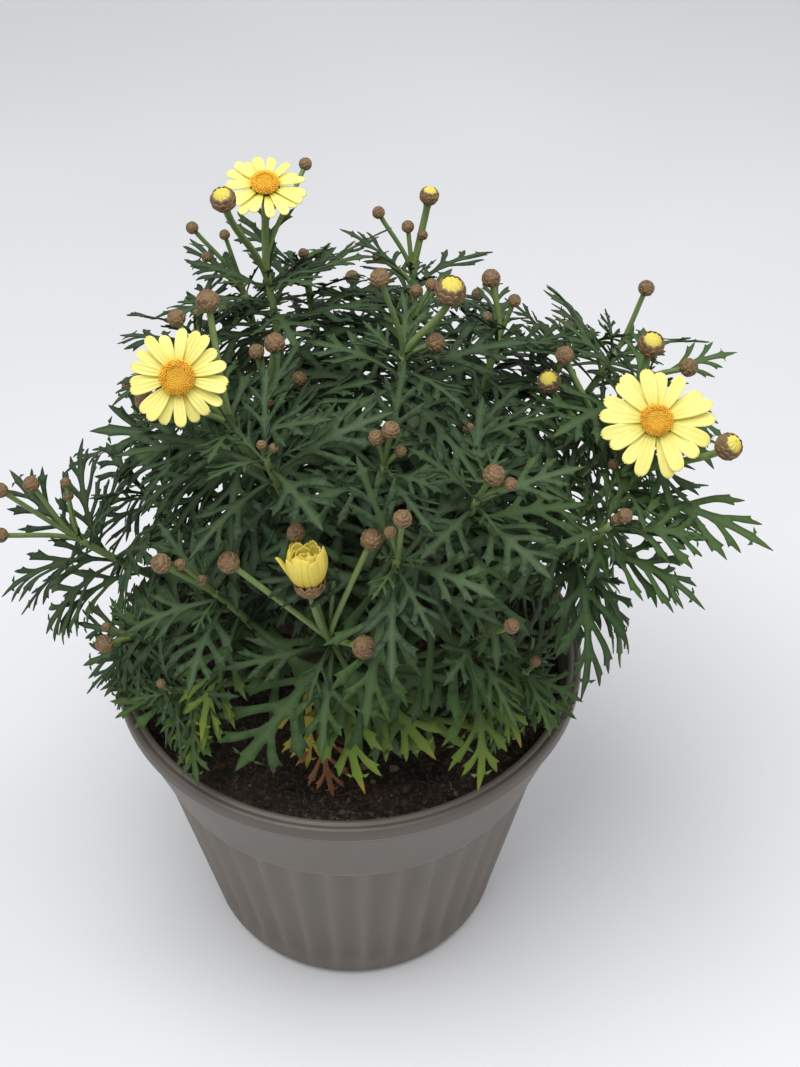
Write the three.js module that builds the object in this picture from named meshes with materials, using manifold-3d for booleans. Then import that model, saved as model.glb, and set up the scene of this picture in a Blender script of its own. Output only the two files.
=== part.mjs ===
// Potted marguerite daisy: a bushy plant with yellow blooms in a fluted round pot.
// Sizes are in millimetres. The origin is the centre of the pot's base, +Z is up,
// and the plant's front faces -Y.
import * as THREE from 'three';
import { mergeVertices } from 'three/addons/utils/BufferGeometryUtils.js';
import Module from 'manifold-3d';

const wasm = await Module();
wasm.setup();

const CLEARANCE = 0.3;
const UP = new THREE.Vector3(0, 0, 1);

// Pot
const POT_HEIGHT = 180;
const POT_BASE_RADIUS = 80;
const POT_BASE_EDGE = 3;
const POT_WALL = 2.6;
const RIM_RADIUS = 120;
const RIM_HEIGHT = 8;
const RIM_STEP = 1.5;
const RIM_INNER_RADIUS = 113;
const COLLAR_BOTTOM_Z = 126;
const COLLAR_BOTTOM_RADIUS = 104;
const COLLAR_LEDGE = 0.8;
const FLUTE_COUNT = 36;
const FLUTE_DEPTH = 2;
const FLUTE_TOP_Z = 122;
const FLUTE_BOTTOM_Z = 10;
const DRAIN_COUNT = 6;
const DRAIN_RADIUS = 5;
const DRAIN_CIRCLE_RADIUS = 48;
const DRAIN_SIDES = 6;

// Soil
const SOIL_TOP_Z = 165;
const SOIL_SIDES = 24;
const SOIL_RINGS = [80, 45];
const SOIL_HUMP = 2.5;
const SOIL_WAVE = 16;
const SOIL_EDGE_DROP = 1;
const TRUNK_HOLE_BOTTOM_Z = 125;

// Woody frame, stems and stalks
const TRUNK_RADIUS = 6;
const TRUNK_SIDES = 6;
const TRUNK_TOP_Z = 188;
const LIMB_RADIUS = 3.4;
const LIMB_SIDES = 4;
const LIMB_DROP = 6;
const LIMB_BEND_SHARE = 0.6;
const LIMB_OVERRUN = 2;
const SPUR_RADIUS = 2.4;
const SPUR_SHARE = 0.5;
const STEM_RADIUS = 2.3;
const STEM_BEND_SHARE = 0.45;
const STALK_RADIUS = 1.4;
const STALK_BEND_SHARE = 0.3;
const LONG_STALK = 28;
const STALK_ROOT = 1.7;
const STALK_STEP = 1.1;
const SLIM_SIDES = 3;
const BUSH_HEART = new THREE.Vector3(8, 15, 200);
const UPWARD_PULL = 0.35;

// Leaves. A pair of values belongs to the youngest and the oldest leaf of a shoot.
const LEAVES_PER_SHOOT = 4;
const BLADE_THICKNESS = 0.8;
const LEAF_TURN = 137.5;
const SHOOT_TURN = 53;
const LEAF_LENGTH = [46, 76];
const LEAF_SPREAD = [36, 84];
const LEAF_DROOP = [25, 70];
const LEAF_DEPTH = [3, 37];
const LENGTH_VARIATION = 0.2;
const SPREAD_VARIATION = 12;
const DROOP_VARIATION = 0.4;
// Half of a leaf's cut edge, in shares of its length, from the foot to the tip
const YOUNG_LEAF_EDGE = [
  [0, 0.015],
  [0.25, 0.035],
  [0.52, 0.24],
  [0.56, 0.07],
  [0.86, 0.19],
  [1, 0],
];
const OLD_LEAF_EDGE = [
  [0, 0.015],
  [0.25, 0.04],
  [0.5, 0.27],
  [0.52, 0.07],
  [0.84, 0.23],
  [0.78, 0.05],
  [1, 0],
];
// A leaf that would cross another shoot is tried in these sizes, lifts and turns.
const SIZES_TO_TRY = [1, 0.85, 0.7];
const LIFTS_TO_TRY = [0, 12, -12, 24, -24];
const TURNS_TO_TRY = [0, 14, -14, 28, -28, 42, -42];

// Blooms
const CUP_RADIUS = 6.5;
const CUP_HEIGHT = 7;
const HEAD_SIDES = 6;
const HUB_RADIUS = 7.4;
const HUB_HEIGHT = 2.6;
const RAY_START = 5.5;
const RAY_WIDTH = 7.2;
const RAY_THICKNESS = 0.7;
const LOWER_RAYS = { height: 0.5, rise: 0 };
const UPPER_RAYS = { height: 1.4, rise: 4 };
const OPENING_RAYS = { height: 0.5, rise: 76, count: 8, shift: 0, length: 16, width: 4.8 };
// Half of a ray's edge, in shares of its length and of its half width
const RAY_EDGE = [
  [0, 0.45],
  [0.6, 1],
  [1, 0.4],
];
const DISC_RADIUS = 7.3;
const DISC_HEIGHT = 3.4;
const DISC_BUMPS = 7;
const DISC_BUMP_SHARE = 0.06;
const DISC_BUMP_HEIGHT = 0.24;

// The woody frame forks at these places.
const FORKS = [
  [-48, -12, 215],
  [-30, -42, 208],
  [18, -45, 208],
  [50, -18, 212],
  [52, 28, 215],
  [12, 50, 222],
  [-36, 38, 220],
  [2, 0, 235],
];

// Leafy shoots. Each has the place where its leaves crowd, its closed buds as offsets from
// there with their diameter, and its other heads as offsets with the way they face. Some have
// the places that leaf tips reach, from the oldest leaf on.
const SHOOTS = [
  {
    name: 'front',
    at: [-5, -80, 266],
    buds: [[-41, -5, 51, 11], [19, 0, 60, 11], [16, -25, 21, 12], [-13, 5, 59, 9]],
    heads: [{ kind: 'opening', to: [-7, -10, 44], facing: [-0.12, 0.2, 0.97] }],
    reach: [[4, -117, 203], [46, -104, 217], [-42, -116, 211], [27, -100, 208]],
  },
  {
    name: 'low_left',
    at: [-97, -55, 241],
    buds: [[-12, -12, 8, 10]],
    reach: [[-121, -44, 196], [-129, -38, 208], [-131, -28, 225]],
  },
  {
    name: 'rim_left',
    at: [-79, -80, 232],
    reach: [[-112, -62, 194], [-76, -76, 184], [-87, -72, 191]],
  },
  {
    name: 'left_front',
    at: [-56, -70, 285],
    buds: [[-18, -18, 34, 10]],
    reach: [[-67, -102, 223]],
  },
  {
    name: 'left',
    at: [-126, -15, 266],
    buds: [[-17, -3, 37, 9], [-29, -11, 40, 8], [-31, -18, 19, 8]],
    reach: [[-142, -26, 208], [-166, -20, 239], [-129, 30, 291], [-161, 5, 290]],
  },
  { name: 'left_mid', at: [-31, -55, 350] },
  {
    name: 'left_flower',
    at: [-46, -35, 350],
    buds: [[-35, -5, 18, 11], [-9, 20, 51, 12], [-22, 15, 46, 9]],
    heads: [{ kind: 'bloom', to: [-20, -8, 32], facing: [0, -0.74, 0.67], rays: 20, length: 15 }],
  },
  { name: 'trio', at: [-34, 5, 330], buds: [[4, 1, 35, 11], [-4, -1, 32, 8], [14, 2, 15, 8]] },
  { name: 'centre', at: [19, -50, 342], buds: [[3, -4, 22, 9]] },
  { name: 'centre_low', at: [25, -85, 320], buds: [[2, -9, 30, 9]] },
  {
    name: 'upper_centre',
    at: [27, 0, 363],
    buds: [[-10, -1, 41, 10], [14, -1, 8, 10]],
    heads: [{ kind: 'tip', to: [20, -3, 36], facing: [0.1, -0.2, 0.97], size: 13 }],
  },
  {
    name: 'top_left',
    at: [-37, 60, 366],
    buds: [[18, 32, 40, 7]],
    heads: [
      { kind: 'bloom', to: [1, 6, 42], facing: [0.05, -0.28, 0.96], rays: 18, length: 13 },
      { kind: 'tip', to: [-14, -28, 56], facing: [-0.1, -0.3, 0.95], size: 11 },
    ],
  },
  { name: 'top_far_left', at: [-51, 85, 340], buds: [[-23, 3, 34, 7], [-8, 5, 29, 6]] },
  { name: 'top_mid', at: [-21, 95, 346] },
  {
    name: 'top_right',
    at: [31, 85, 349],
    buds: [[-16, 6, 32, 7], [-2, 5, 25, 7]],
    heads: [{ kind: 'tip', to: [8, 8, 40], facing: [0.15, 0, 0.99], size: 9 }],
  },
  { name: 'upper_back', at: [31, 45, 348], buds: [[2, 2, 18, 7], [9, 1, 22, 7]] },
  { name: 'upper_right', at: [72, 40, 345], buds: [[-5, 4, 30, 10], [6, 1, 20, 7]] },
  { name: 'right_back', at: [109, 75, 312], buds: [[0, 3, 13, 7]] },
  { name: 'right_top', at: [131, 60, 324], buds: [[11, 4, 33, 9]] },
  {
    name: 'right_bud',
    at: [140, 25, 332],
    buds: [[18, -5, 11, 10]],
    heads: [{ kind: 'tip', to: [1, 3, 18], facing: [0.1, -0.3, 0.95], size: 12 }],
  },
  {
    name: 'right_flower',
    at: [128, -10, 303],
    heads: [
      { kind: 'bloom', to: [12, -2, 33], facing: [-0.05, -0.6, 0.8], rays: 18, length: 20 },
      { kind: 'tip', to: [42, -19, 33], facing: [0.5, -0.4, 0.77], size: 12 },
    ],
    reach: [[175, -25, 275], [108, -48, 262], [198, -34, 283]],
  },
  {
    name: 'right_mid',
    at: [119, 10, 297],
    buds: [[-18, 12, 51, 10], [3, 0, 12, 9]],
    heads: [{ kind: 'tip', to: [-24, 13, 35], facing: [-0.2, -0.3, 0.93], size: 11 }],
  },
  {
    name: 'right_low',
    at: [120, -45, 304],
    buds: [[5, -3, 8, 8]],
    reach: [[132, -56, 239], [166, -56, 269], [102, -42, 233], [166, -38, 289]],
  },
  { name: 'mid_right', at: [59, -60, 332], buds: [[6, -5, 17, 11]] },
  {
    name: 'low_right',
    at: [62, -80, 267],
    buds: [[12, -13, 21, 8]],
    reach: [[84, -88, 204], [101, -66, 218], [52, -78, 206]],
  },
  { name: 'rim_right', at: [85, -70, 235] },
  { name: 'centre_right', at: [56, -22, 334] },
  { name: 'left_back', at: [-73, 60, 335] },
  { name: 'mid_left', at: [-69, 20, 311], reach: [[-122, 18, 303]] },
  { name: 'back_left', at: [-105, 65, 270], buds: [[-6, 6, 24, 8]] },
  { name: 'back_low_left', at: [-60, 115, 262] },
  { name: 'back_mid', at: [0, 135, 285], buds: [[0, 8, 26, 9]] },
  { name: 'back_right', at: [62, 118, 290], buds: [[4, 8, 22, 8]] },
  { name: 'low_back_right', at: [112, 50, 250] },
];

// Solids
const MERGE_DISTANCE = 1e-4;
const WELD_DISTANCE = 0.02;

function solid(geometry, nearness = MERGE_DISTANCE) {
  const bare = geometry.clone();
  bare.deleteAttribute('normal');
  bare.deleteAttribute('uv');
  const merged = mergeVertices(bare, nearness);
  const mesh = new wasm.Mesh({
    numProp: 3,
    vertProperties: new Float32Array(merged.attributes.position.array),
    triVerts: new Uint32Array(merged.index.array),
  });
  return new wasm.Manifold(mesh);
}

function geometryOf(whole) {
  const { vertProperties, triVerts } = whole.getMesh();
  const geometry = new THREE.BufferGeometry();
  geometry.setAttribute('position', new THREE.BufferAttribute(new Float32Array(vertProperties), 3));
  geometry.setIndex(new THREE.BufferAttribute(new Uint32Array(triVerts), 1));
  geometry.computeVertexNormals();
  return geometry;
}

// Joins solids that grow together into one body without slivers or sealed hollows.
function join(solids) {
  const whole = solids.reduce((sum, piece) => sum.add(piece));
  const bodies = solid(geometryOf(whole), WELD_DISTANCE).decompose();
  return bodies.reduce((best, body) => (body.volume() > best.volume() ? body : best));
}

function vector(list) {
  return new THREE.Vector3(...list);
}

function mix([low, high], share) {
  return low + (high - low) * share;
}

// A closed outline from its half above the X axis
function mirroredShape(half) {
  const back = half.filter(([, y]) => y > 0).reverse().map(([x, y]) => [x, -y]);
  return new THREE.Shape([...half, ...back].map(([x, y]) => new THREE.Vector2(x, y)));
}

// A body turned about +Z, from [radius, height] pairs that start and end on the axis
function turned(profile, segments) {
  const points = profile.map(([radius, height]) => new THREE.Vector2(radius, height));
  return new THREE.LatheGeometry(points, segments).rotateX(Math.PI / 2);
}

function moveVertices(geometry, change) {
  const place = geometry.attributes.position;
  const point = new THREE.Vector3();
  for (let i = 0; i < place.count; i += 1) {
    change(point.fromBufferAttribute(place, i));
    place.setXYZ(i, point.x, point.y, point.z);
  }
  return geometry;
}

function placeAt(geometry, point, facing) {
  const turn = new THREE.Quaternion().setFromUnitVectors(UP, facing);
  return geometry.applyQuaternion(turn).translate(point.x, point.y, point.z);
}

function tube(path, radius, sides, steps) {
  const corners = [];
  for (let side = 0; side < sides; side += 1) {
    const angle = (2 * Math.PI * side) / sides;
    corners.push(new THREE.Vector2(radius * Math.cos(angle), radius * Math.sin(angle)));
  }
  const section = new THREE.Shape(corners);
  return solid(new THREE.ExtrudeGeometry(section, { steps, bevelEnabled: false, extrudePath: path }));
}

// A part of a longer curve, so that neighbouring tubes follow one line
class Stretch extends THREE.Curve {
  constructor(curve, from, to) {
    super();
    this.curve = curve;
    this.from = from;
    this.to = to;
  }

  getPoint(share, target = new THREE.Vector3()) {
    return target.copy(this.curve.getPointAt(mix([this.from, this.to], share)));
  }
}

// A repeatable run of numbers from 0 to 1
const RUN_FACTOR = 1664525;
const RUN_STEP = 1013904223;
const RUN_SIZE = 2 ** 32;
const RUN_SEED = 101;

function randomRun(seed) {
  let state = seed;
  return () => {
    state = (Math.imul(state, RUN_FACTOR) + RUN_STEP) >>> 0;
    return state / RUN_SIZE;
  };
}

// Pot
const RIM_BOTTOM_Z = POT_HEIGHT - RIM_HEIGHT;
const WALL_BEND_Z = FLUTE_TOP_Z;

function wallRadius(z) {
  if (z < COLLAR_BOTTOM_Z) return mix([POT_BASE_RADIUS, COLLAR_BOTTOM_RADIUS], z / COLLAR_BOTTOM_Z);
  const share = (z - COLLAR_BOTTOM_Z) / (RIM_BOTTOM_Z - COLLAR_BOTTOM_Z);
  return mix([COLLAR_BOTTOM_RADIUS, RIM_RADIUS - RIM_STEP], share);
}

// The inside of the wall at its foot, at its bend and below the rim
const INNER_FOOT_RADIUS = wallRadius(POT_WALL) - POT_WALL;
const INNER_BEND_RADIUS = wallRadius(WALL_BEND_Z) - POT_WALL;

function potSolid() {
  const profile = [
    [0, 0],
    [POT_BASE_RADIUS - POT_BASE_EDGE, 0],
    [wallRadius(FLUTE_BOTTOM_Z), FLUTE_BOTTOM_Z],
    [wallRadius(FLUTE_TOP_Z), FLUTE_TOP_Z],
    [wallRadius(COLLAR_BOTTOM_Z) + COLLAR_LEDGE, COLLAR_BOTTOM_Z],
    [wallRadius(RIM_BOTTOM_Z), RIM_BOTTOM_Z],
    [RIM_RADIUS, RIM_BOTTOM_Z],
    [RIM_RADIUS, POT_HEIGHT],
    [RIM_INNER_RADIUS, POT_HEIGHT],
    [INNER_BEND_RADIUS, WALL_BEND_Z],
    [INNER_FOOT_RADIUS, POT_WALL],
    [0, POT_WALL],
  ];
  const pot = moveVertices(turned(profile, 2 * FLUTE_COUNT), (point) => {
    const radius = Math.hypot(point.x, point.y);
    const outside = radius > wallRadius(point.z) - POT_WALL / 2;
    if (!outside || point.z < FLUTE_BOTTOM_Z - 1 || point.z > FLUTE_TOP_Z + 1) return;
    const wave = Math.cos(FLUTE_COUNT * Math.atan2(point.y, point.x));
    const scale = 1 - (FLUTE_DEPTH * (1 - wave)) / 2 / radius;
    point.x *= scale;
    point.y *= scale;
  });
  let body = solid(pot);
  for (let i = 0; i < DRAIN_COUNT; i += 1) {
    const angle = (2 * Math.PI * (i + 0.5)) / DRAIN_COUNT;
    const hole = new THREE.CylinderGeometry(DRAIN_RADIUS, DRAIN_RADIUS, 4 * POT_WALL, DRAIN_SIDES);
    hole.rotateX(Math.PI / 2);
    hole.translate(DRAIN_CIRCLE_RADIUS * Math.cos(angle), DRAIN_CIRCLE_RADIUS * Math.sin(angle), 0);
    body = body.subtract(solid(hole));
  }
  return body;
}

// Soil with low humps, and a plain round hole for the trunk
function soilSolid() {
  const holeRadius = TRUNK_RADIUS + CLEARANCE;
  const topShare = (SOIL_TOP_Z - WALL_BEND_Z) / (POT_HEIGHT - WALL_BEND_Z);
  const wallAtTop = mix([INNER_BEND_RADIUS, RIM_INNER_RADIUS], topShare);
  const flatness = Math.cos(Math.PI / (2 * FLUTE_COUNT));
  const fit = (radius) => (radius - 2 * CLEARANCE) * flatness;
  const profile = [
    [0, POT_WALL + CLEARANCE],
    [fit(INNER_FOOT_RADIUS), POT_WALL + CLEARANCE],
    [fit(INNER_BEND_RADIUS), WALL_BEND_Z],
    [fit(wallAtTop), SOIL_TOP_Z - SOIL_EDGE_DROP],
    ...SOIL_RINGS.map((radius) => [radius, SOIL_TOP_Z]),
    [holeRadius, SOIL_TOP_Z - SOIL_EDGE_DROP],
    [holeRadius, TRUNK_HOLE_BOTTOM_Z],
    [0, TRUNK_HOLE_BOTTOM_Z],
  ];
  const soil = moveVertices(turned(profile, SOIL_SIDES), (point) => {
    if (point.z < SOIL_TOP_Z) return;
    point.z += SOIL_HUMP * Math.sin(point.x / SOIL_WAVE + 1) * Math.cos(point.y / SOIL_WAVE);
  });
  return solid(soil);
}

// Lines that the wood and the stems follow
function outward(shoot) {
  const away = vector(shoot.at).sub(BUSH_HEART).normalize();
  return away.lerp(UP, UPWARD_PULL).normalize();
}

function nearestFork(point) {
  const forks = FORKS.map(vector);
  return forks.reduce((best, fork) => (fork.distanceTo(point) < best.distanceTo(point) ? fork : best));
}

function shootLine(shoot) {
  const tip = vector(shoot.at);
  const fork = nearestFork(tip);
  const bend = tip.clone().addScaledVector(outward(shoot), -STEM_BEND_SHARE * tip.distanceTo(fork));
  return new THREE.QuadraticBezierCurve3(fork, bend, tip);
}

function branchPieces() {
  const foot = new THREE.Vector3(0, 0, TRUNK_HOLE_BOTTOM_Z + CLEARANCE);
  const top = new THREE.Vector3(0, 0, TRUNK_TOP_Z);
  const pieces = [tube(new THREE.LineCurve3(foot, top), TRUNK_RADIUS, TRUNK_SIDES, 1)];
  for (const place of FORKS) {
    const fork = vector(place);
    const start = top.clone().addScaledVector(UP, -LIMB_DROP);
    const bend = start.clone().lerp(fork, LIMB_BEND_SHARE).addScaledVector(UP, -LIMB_DROP);
    const over = fork.clone().sub(bend).setLength(LIMB_OVERRUN).add(fork);
    const line = new THREE.QuadraticBezierCurve3(start, bend, over);
    pieces.push(tube(line, LIMB_RADIUS, LIMB_SIDES, 2));
  }
  for (const shoot of SHOOTS) {
    const spur = new Stretch(shootLine(shoot), 0, SPUR_SHARE);
    pieces.push(tube(spur, SPUR_RADIUS, SLIM_SIDES, 1));
  }
  return pieces;
}

// Leaves
function leafPose({ line, random, turn, reach }, order) {
  const share = order / (LEAVES_PER_SHOOT - 1);
  const pose = {
    length: mix(LEAF_LENGTH, share) * (1 + LENGTH_VARIATION * (random() - 0.5)),
    depth: mix(LEAF_DEPTH, share),
    spread: mix(LEAF_SPREAD, share) + SPREAD_VARIATION * (random() - 0.5),
    droop: mix(LEAF_DROOP, share) * (1 + DROOP_VARIATION * (random() - 0.5)),
    turn: LEAF_TURN * order + turn,
    edge: share > 0.5 ? OLD_LEAF_EDGE : YOUNG_LEAF_EDGE,
  };
  const target = reach[LEAVES_PER_SHOOT - 1 - order];
  return target ? { ...pose, ...aim(pose, line, vector(target)) } : pose;
}

// The length, spread and turn that bring a leaf's tip to a place
function aim(pose, line, target) {
  const share = 1 - pose.depth / line.getLength();
  const axis = line.getTangentAt(share);
  const chord = target.sub(line.getPointAt(share));
  const side = UP.clone().cross(axis).normalize();
  const across = axis.clone().cross(side);
  const halfDroop = THREE.MathUtils.degToRad(pose.droop) / 2;
  return {
    length: (chord.length() * halfDroop) / Math.sin(halfDroop),
    spread: THREE.MathUtils.radToDeg(axis.angleTo(chord) - halfDroop),
    turn: THREE.MathUtils.radToDeg(Math.atan2(chord.dot(across), chord.dot(side))),
  };
}

// A cut blade bent down along its length. Growing it on all sides tests the room around it.
function leafSolid(pose, line, grow) {
  const half = pose.edge.map(([along, side]) => {
    return [along * pose.length, side > 0 ? side * pose.length + grow : 0];
  });
  const depth = BLADE_THICKNESS + 2 * grow;
  const blade = new THREE.ExtrudeGeometry(mirroredShape(half), { depth, bevelEnabled: false });
  const bend = THREE.MathUtils.degToRad(pose.droop) / pose.length;
  moveVertices(blade.translate(0, 0, -depth / 2), (point) => {
    const angle = bend * point.x;
    const reach = 1 / bend + point.z;
    point.x = reach * Math.sin(angle);
    point.z = reach * Math.cos(angle) - 1 / bend;
  });
  const share = 1 - pose.depth / line.getLength();
  const axis = line.getTangentAt(share);
  const side = UP.clone().cross(axis).normalize();
  side.applyAxisAngle(axis, THREE.MathUtils.degToRad(pose.turn));
  const spread = THREE.MathUtils.degToRad(pose.spread);
  const forward = axis.clone().multiplyScalar(Math.cos(spread)).addScaledVector(side, Math.sin(spread));
  const face = axis.clone().multiplyScalar(Math.sin(spread)).addScaledVector(side, -Math.cos(spread));
  const across = face.clone().cross(forward);
  const basis = new THREE.Matrix4().makeBasis(forward, across, face);
  return solid(blade.applyMatrix4(basis.setPosition(line.getPointAt(share))));
}

// Stalks, buds and cups. The stalks of a shoot leave its stem one below the other.
function stalk(shoot, order, end, arriving) {
  const leaving = outward(shoot);
  const start = vector(shoot.at).addScaledVector(leaving, -STALK_ROOT - STALK_STEP * order);
  const reach = STALK_BEND_SHARE * start.distanceTo(end);
  const near = start.clone().addScaledVector(leaving, reach);
  const far = end.clone().addScaledVector(arriving, -reach);
  const path = new THREE.CubicBezierCurve3(start, near, far, end);
  return tube(path, STALK_RADIUS, SLIM_SIDES, start.distanceTo(end) > LONG_STALK ? 2 : 1);
}

function budPieces(shoot, [x, y, z, diameter], order) {
  const offset = new THREE.Vector3(x, y, z);
  const centre = vector(shoot.at).add(offset);
  const bud = new THREE.IcosahedronGeometry(diameter / 2, 0).translate(centre.x, centre.y, centre.z);
  return [stalk(shoot, order, centre, offset.normalize()), solid(bud)];
}

function headPieces(shoot, head, order) {
  const facing = vector(head.facing).normalize();
  const centre = vector(shoot.at).add(vector(head.to));
  const radius = head.kind === 'tip' ? head.size / 2 : CUP_RADIUS;
  const height = (CUP_HEIGHT * radius) / CUP_RADIUS;
  const profile = [[0, -height], [0.4 * radius, -height], [radius, -0.35 * height], [radius, 0], [0, 0]];
  const cup = placeAt(turned(profile, HEAD_SIDES), centre, facing);
  const foot = centre.clone().addScaledVector(facing, -0.8 * height);
  return [stalk(shoot, order, foot, facing), solid(cup)];
}

// Rays about +Z in layers, each with a count, a first turn, a height, a rise, a length and a width
function raysSolid(layers) {
  const top = HUB_HEIGHT;
  const hub = turned([[0, CLEARANCE], [HUB_RADIUS, CLEARANCE], [HUB_RADIUS, top], [0, top]], HEAD_SIDES);
  const pieces = [solid(hub)];
  for (const layer of layers) {
    const half = RAY_EDGE.map(([along, side]) => [along * layer.length, (side * layer.width) / 2]);
    const shape = mirroredShape(half);
    for (let i = 0; i < layer.count; i += 1) {
      const ray = new THREE.ExtrudeGeometry(shape, { depth: RAY_THICKNESS, bevelEnabled: false });
      ray.rotateY(THREE.MathUtils.degToRad(-layer.rise));
      ray.translate(RAY_START, 0, layer.height);
      ray.rotateZ((2 * Math.PI * (i + layer.shift)) / layer.count);
      pieces.push(solid(ray));
    }
  }
  return join(pieces);
}

function bloomRays(head) {
  const lower = Math.ceil(head.rays / 2);
  const shared = { length: head.length, width: RAY_WIDTH };
  return raysSolid([
    { ...LOWER_RAYS, ...shared, count: lower, shift: 0 },
    { ...UPPER_RAYS, ...shared, count: head.rays - lower, shift: 0.5 },
  ]);
}

// A low dome with a dimple and rings of small bumps
function discSolid() {
  const bottom = HUB_HEIGHT + CLEARANCE;
  const profile = [
    [0, bottom],
    [DISC_RADIUS, bottom],
    [DISC_RADIUS, bottom + 0.5 * DISC_HEIGHT],
    [0.78 * DISC_RADIUS, bottom + DISC_HEIGHT],
    [0.5 * DISC_RADIUS, bottom + 0.85 * DISC_HEIGHT],
    [0, bottom + 0.6 * DISC_HEIGHT],
  ];
  const disc = moveVertices(turned(profile, 2 * DISC_BUMPS), (point) => {
    if (point.z < bottom + 1 || Math.hypot(point.x, point.y) < 1) return;
    const crown = point.z > bottom + 0.9 * DISC_HEIGHT;
    const bump = Math.cos(DISC_BUMPS * Math.atan2(point.y, point.x) + (crown ? Math.PI : 0));
    point.x *= 1 + DISC_BUMP_SHARE * bump;
    point.y *= 1 + DISC_BUMP_SHARE * bump;
    point.z += DISC_BUMP_HEIGHT * bump;
  });
  return solid(disc);
}

function tipSolid(size) {
  const radius = size / 2;
  const profile = [
    [0, CLEARANCE],
    [0.92 * radius, CLEARANCE],
    [0.95 * radius, 0.5 * radius],
    [0.5 * radius, radius],
    [0, 1.05 * radius],
  ];
  return solid(turned(profile, HEAD_SIDES));
}

// Materials
function paint(color, roughness) {
  return new THREE.MeshStandardMaterial({ color, roughness, metalness: 0 });
}

const potPaint = paint(0x6f665e, 0.6);
const soilPaint = paint(0x2f241c, 1);
const woodPaint = paint(0x5f5138, 0.9);
const leafPaint = paint(0x3b5a45, 0.7);
const rayPaint = paint(0xf6ec8a, 0.7);
const discPaint = paint(0xd39a1c, 0.9);

// Each node's solids stand here, so that later leaves can be kept clear of them.
const standing = [];

function stand(name, piece) {
  standing.push({ name, piece, box: piece.boundingBox() });
  return piece;
}

function boxesMeet(a, b) {
  return [0, 1, 2].every((axis) => a.min[axis] <= b.max[axis] && b.min[axis] <= a.max[axis]);
}

function isClear(name, candidate) {
  const box = candidate.boundingBox();
  return standing.every((other) => {
    if (other.name === name || !boxesMeet(box, other.box)) return true;
    const shared = candidate.intersect(other.piece);
    const clear = shared.isEmpty();
    shared.delete();
    return clear;
  });
}

// Assembly
const group = new THREE.Group();

function addNode(name, body, material) {
  const mesh = new THREE.Mesh(geometryOf(body), material);
  mesh.name = name;
  group.add(mesh);
}

addNode('pot', stand('pot', potSolid()), potPaint);
addNode('soil', stand('soil', soilSolid()), soilPaint);
addNode('branches', join(branchPieces().map((piece) => stand('branches', piece))), woodPaint);

function addHead(shoot, head) {
  const facing = vector(head.facing).normalize();
  const centre = vector(shoot.at).add(vector(head.to));
  const makers = {
    tip: () => [['yellow_tip', tipSolid(head.size), rayPaint]],
    opening: () => [['opening_rays', raysSolid([OPENING_RAYS]), rayPaint]],
    bloom: () => [['rays', bloomRays(head), rayPaint], ['disc', discSolid(), discPaint]],
  };
  for (const [part, body, material] of makers[head.kind]()) {
    const name = `${part}_${shoot.name}`;
    addNode(name, stand(name, solid(placeAt(geometryOf(body), centre, facing))), material);
  }
}

// Stems, stalks and heads come first, and then each leaf finds a place clear of the other nodes.
const plants = SHOOTS.map((shoot, index) => {
  const name = `shoot_${shoot.name}`;
  const line = shootLine(shoot);
  const from = SPUR_SHARE + CLEARANCE / line.getLength();
  const buds = shoot.buds ?? [];
  const heads = shoot.heads ?? [];
  const pieces = [
    tube(new Stretch(line, from, 1), STEM_RADIUS, SLIM_SIDES, 2),
    ...buds.flatMap((bud, order) => budPieces(shoot, bud, order)),
    ...heads.flatMap((head, order) => headPieces(shoot, head, buds.length + order)),
  ];
  pieces.forEach((piece) => stand(name, piece));
  heads.forEach((head) => addHead(shoot, head));
  const random = randomRun(RUN_SEED + index);
  return { name, line, pieces, random, turn: SHOOT_TURN * index, reach: shoot.reach ?? [] };
});

function clearLeaf(plant, pose) {
  for (const size of SIZES_TO_TRY) {
    for (const lift of LIFTS_TO_TRY) {
      for (const turn of TURNS_TO_TRY) {
        const tried = {
          ...pose,
          length: pose.length * size,
          spread: pose.spread - lift,
          turn: pose.turn + turn,
        };
        const wide = leafSolid(tried, plant.line, CLEARANCE);
        const clear = isClear(plant.name, wide);
        wide.delete();
        if (clear) return [leafSolid(tried, plant.line, 0)];
      }
    }
  }
  return [];
}

for (let order = 0; order < LEAVES_PER_SHOOT; order += 1) {
  for (const plant of plants) {
    const leaves = clearLeaf(plant, leafPose(plant, order));
    plant.pieces.push(...leaves.map((leaf) => stand(plant.name, leaf)));
  }
}

for (const plant of plants) addNode(plant.name, join(plant.pieces), leafPaint);

export default group;
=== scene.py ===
"""A potted marguerite daisy: fluted pot, crumbly soil, deeply cut leaves, buds and yellow blooms."""

import math
import random

import bpy
import numpy as np
from mathutils import Matrix, Vector
from mathutils.geometry import delaunay_2d_cdt


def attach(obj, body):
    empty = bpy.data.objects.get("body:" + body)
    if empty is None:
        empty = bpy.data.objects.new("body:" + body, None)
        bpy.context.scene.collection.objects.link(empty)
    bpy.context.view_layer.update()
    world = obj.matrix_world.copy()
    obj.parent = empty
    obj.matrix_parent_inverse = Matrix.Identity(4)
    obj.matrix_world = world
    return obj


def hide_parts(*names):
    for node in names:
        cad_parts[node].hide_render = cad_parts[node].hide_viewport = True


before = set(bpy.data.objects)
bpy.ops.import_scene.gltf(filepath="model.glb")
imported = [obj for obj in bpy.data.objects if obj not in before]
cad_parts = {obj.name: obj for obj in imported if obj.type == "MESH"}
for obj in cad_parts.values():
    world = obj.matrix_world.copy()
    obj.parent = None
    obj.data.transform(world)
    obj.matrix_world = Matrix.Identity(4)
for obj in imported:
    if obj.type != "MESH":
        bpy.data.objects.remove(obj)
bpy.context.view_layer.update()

# Lengths are in millimetres and become metres where a mesh is made.
METRE = 0.001
UP = np.array([0.0, 0.0, 1.0])
SEED = 11
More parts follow.
